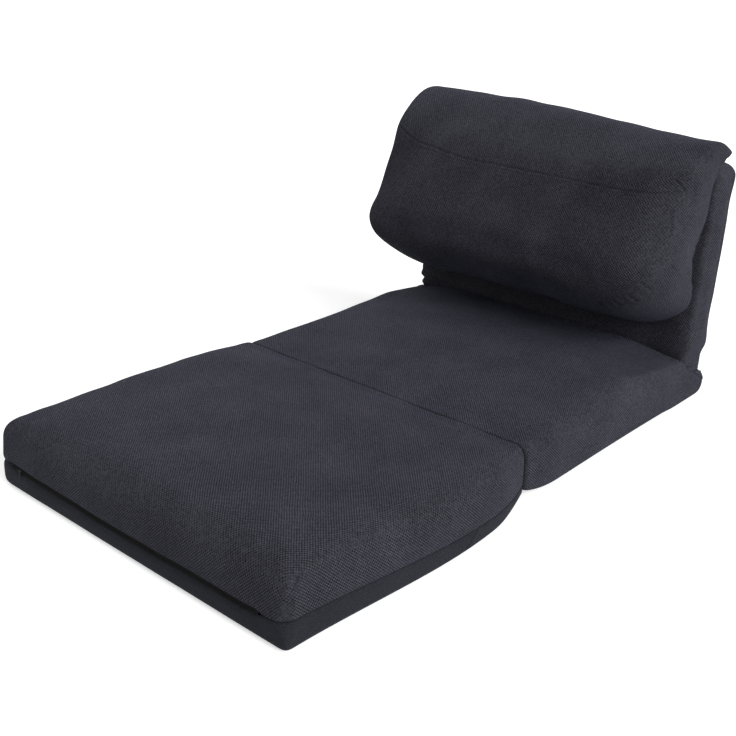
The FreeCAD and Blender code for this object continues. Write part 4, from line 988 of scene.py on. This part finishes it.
def make_materials():
    """One material for each of the record's slots, and the sewing thread.

    Pitch and relief of a cloth are in metres, grain and depth of a plain finish in millimetres: real sizes.
    """
    return {
        # chenille upholstery cloth: soft raised dots 2.9 mm apart, light caught bluish on the pile
        "cover_cloth": woven_cloth("chenille_cloth", "#111116", "#5a5964", 0.0029, 0.0008, 0.9, 0.06, 0.42),
        # close plain weave of the under-cover: darker and smoother
        "lower_cloth": woven_cloth("plain_weave_undercover", "#131418", "#3c3e45", 0.0018, 0.0004, 0.85, 0.04,
                                   0.35),
        # powder-coated steel: slight orange peel
        "frame_paint": grained("powder_coated_steel", "#111213", "#191a1b", 0.5, 0.0, 0.9, 0.05),
        # zinc-plated stamped steel: cloudy grey
        "zinc_steel": grained("zinc_plated_steel", "#8f9294", "#a9abac", 0.35, 1.0, 3.0, 0.02),
        # elastic webbing: ribbed black
        "webbing": woven_cloth("elastic_webbing", "#0c0c0e", "#2a2b2f", 0.0015, 0.0003, 0.8, 0.03, 0.1),
        # cut polyurethane foam: open cells
        "foam": grained("polyurethane_foam", "#e0d3a0", "#f0e6bd", 0.9, 0.0, 1.2, 0.5),
        # polyester fibre filling
        "filling": grained("polyester_filling", "#dcdcd8", "#f4f4f1", 0.95, 0.0, 2.5, 1.0),
        # moulded nylon coil and its woven tape
        "zip_black": grained("nylon_zip", "#050506", "#0c0c0e", 0.75, 0.0, 0.8, 0.05, gloss=0.15),
        # painted zinc-alloy slider
        "zip_metal": grained("painted_zinc_alloy", "#070708", "#0d0d0e", 0.55, 0.0, 0.6, 0.01, gloss=0.12),
        # spun polyester sewing thread: a little lighter than the cloth's shade
        "thread": grained("polyester_thread", "#1a1a1f", "#2c2c33", 0.8, 0.0, 0.5, 0.1, gloss=0.2),
    }


def dress_nodes(finishes):
    """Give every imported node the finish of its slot."""
    slots = {part["node"]: part["material_slot"] for part in frame["record"]["subparts"]}
    for name, piece in frame["nodes"].items():
        piece.data.materials.clear()
        piece.data.materials.append(finishes[slots[name]])


# Stage: floor, studio, lamp and camera

FLOOR_HALF = 40000.0
# how strongly the studio lights the object; it always looks white itself
WORLD_LIGHT = 0.46


def looked_at(tree):
    """The light path's node, and 1 for rays that show the picture directly or by a gloss."""
    rays = add(tree, "LightPath")
    seen = add(tree, "Math", {0: rays.outputs["Is Camera Ray"], 1: rays.outputs["Is Glossy Ray"]},
               operation="MAXIMUM")
    return rays, seen


def set_floor():
    """A large floor that looks white, keeps the shadow and throws little light back up."""
    finish, tree, shader, _ = new_material("matt_white_floor")
    seen = looked_at(tree)[1]
    look = add(tree, "Mix", {"Factor": seen.outputs[0], "A": srgb("#9a9a9a"), "B": srgb("#ffffff")},
               data_type="RGBA")
    lift = add(tree, "Math", {0: seen.outputs[0], 1: 0.5}, operation="MULTIPLY")
    feed(tree, shader, {"Base Color": look.outputs["Result"], "Emission Strength": lift.outputs[0],
                        "Emission Color": srgb("#ffffff"), "Roughness": 0.9, "Specular IOR Level": 0.0})
    corners = [(x * FLOOR_HALF, y * FLOOR_HALF, 0) for x, y in ((-1, -1), (1, -1), (1, 1), (-1, 1))]
    floor = new_piece("floor", corners, [(0, 1, 2, 3)], finish)


def set_world():
    """A studio that looks white and lights the object softly from all round."""
    world = bpy.data.worlds.new("studio")
    bpy.context.scene.world = world
    world.use_nodes = True
    tree = world.node_tree
    rays, seen = looked_at(tree)
    both = add(tree, "Math", {0: seen.outputs[0], 1: rays.outputs["Is Transmission Ray"]},
               operation="MAXIMUM")
    strength = add(tree, "Math", {0: both.outputs[0], 1: 1 - WORLD_LIGHT, 2: WORLD_LIGHT},
                   operation="MULTIPLY_ADD")
    feed(tree, tree.nodes["Background"], {"Color": (1, 1, 1, 1), "Strength": strength.outputs[0]})


def set_lamp():
    """One large softbox, low on the right."""
    lamp = bpy.data.lights.new("large_softbox", "SUN")
    lamp.energy = 2.7
    lamp.angle = math.radians(40)
    light = bpy.data.objects.new("large_softbox", lamp)
    rise, turn = math.radians(28), math.radians(3)
    towards = Vector((math.cos(rise) * math.cos(turn), -math.cos(rise) * math.sin(turn), math.sin(rise)))
    light.rotation_euler = towards.to_track_quat("Z", "Y").to_euler()
    bpy.context.scene.collection.objects.link(light)


def set_camera():
    """The photograph's view."""
    lens = bpy.data.cameras.new("photo_view")
    lens.lens = 56.67
    lens.sensor_width = 36
    camera = bpy.data.objects.new("photo_view", lens)
    camera.location = (1.4303, -1.8779, 1.0873)
    camera.rotation_euler = (math.pi / 2 - 0.41198, 0, 0.74547)
    bpy.context.scene.collection.objects.link(camera)
    bpy.context.scene.camera = camera
    bpy.context.scene.view_settings.view_transform = "Standard"


finishes = make_materials()
cover, under, thread = finishes["cover_cloth"], finishes["lower_cloth"], finishes["thread"]
dress_nodes(finishes)
leg_lower = make_leg_lower(under)
leg_upper = make_leg_upper(cover)
make_leg_stitches(leg_upper, leg_lower, thread)
make_zip(finishes["zip_black"])
seat = make_seat(cover)
make_seat_stitches(seat, thread)
make_joint_cloth(cover)
make_backrest(cover)
make_rear_gusset(under)
pillow = make_pillow(cover)
make_pillow_stitches(pillow, thread)
make_pillow_flap(under)
set_floor()
set_world()
set_lamp()
set_camera()
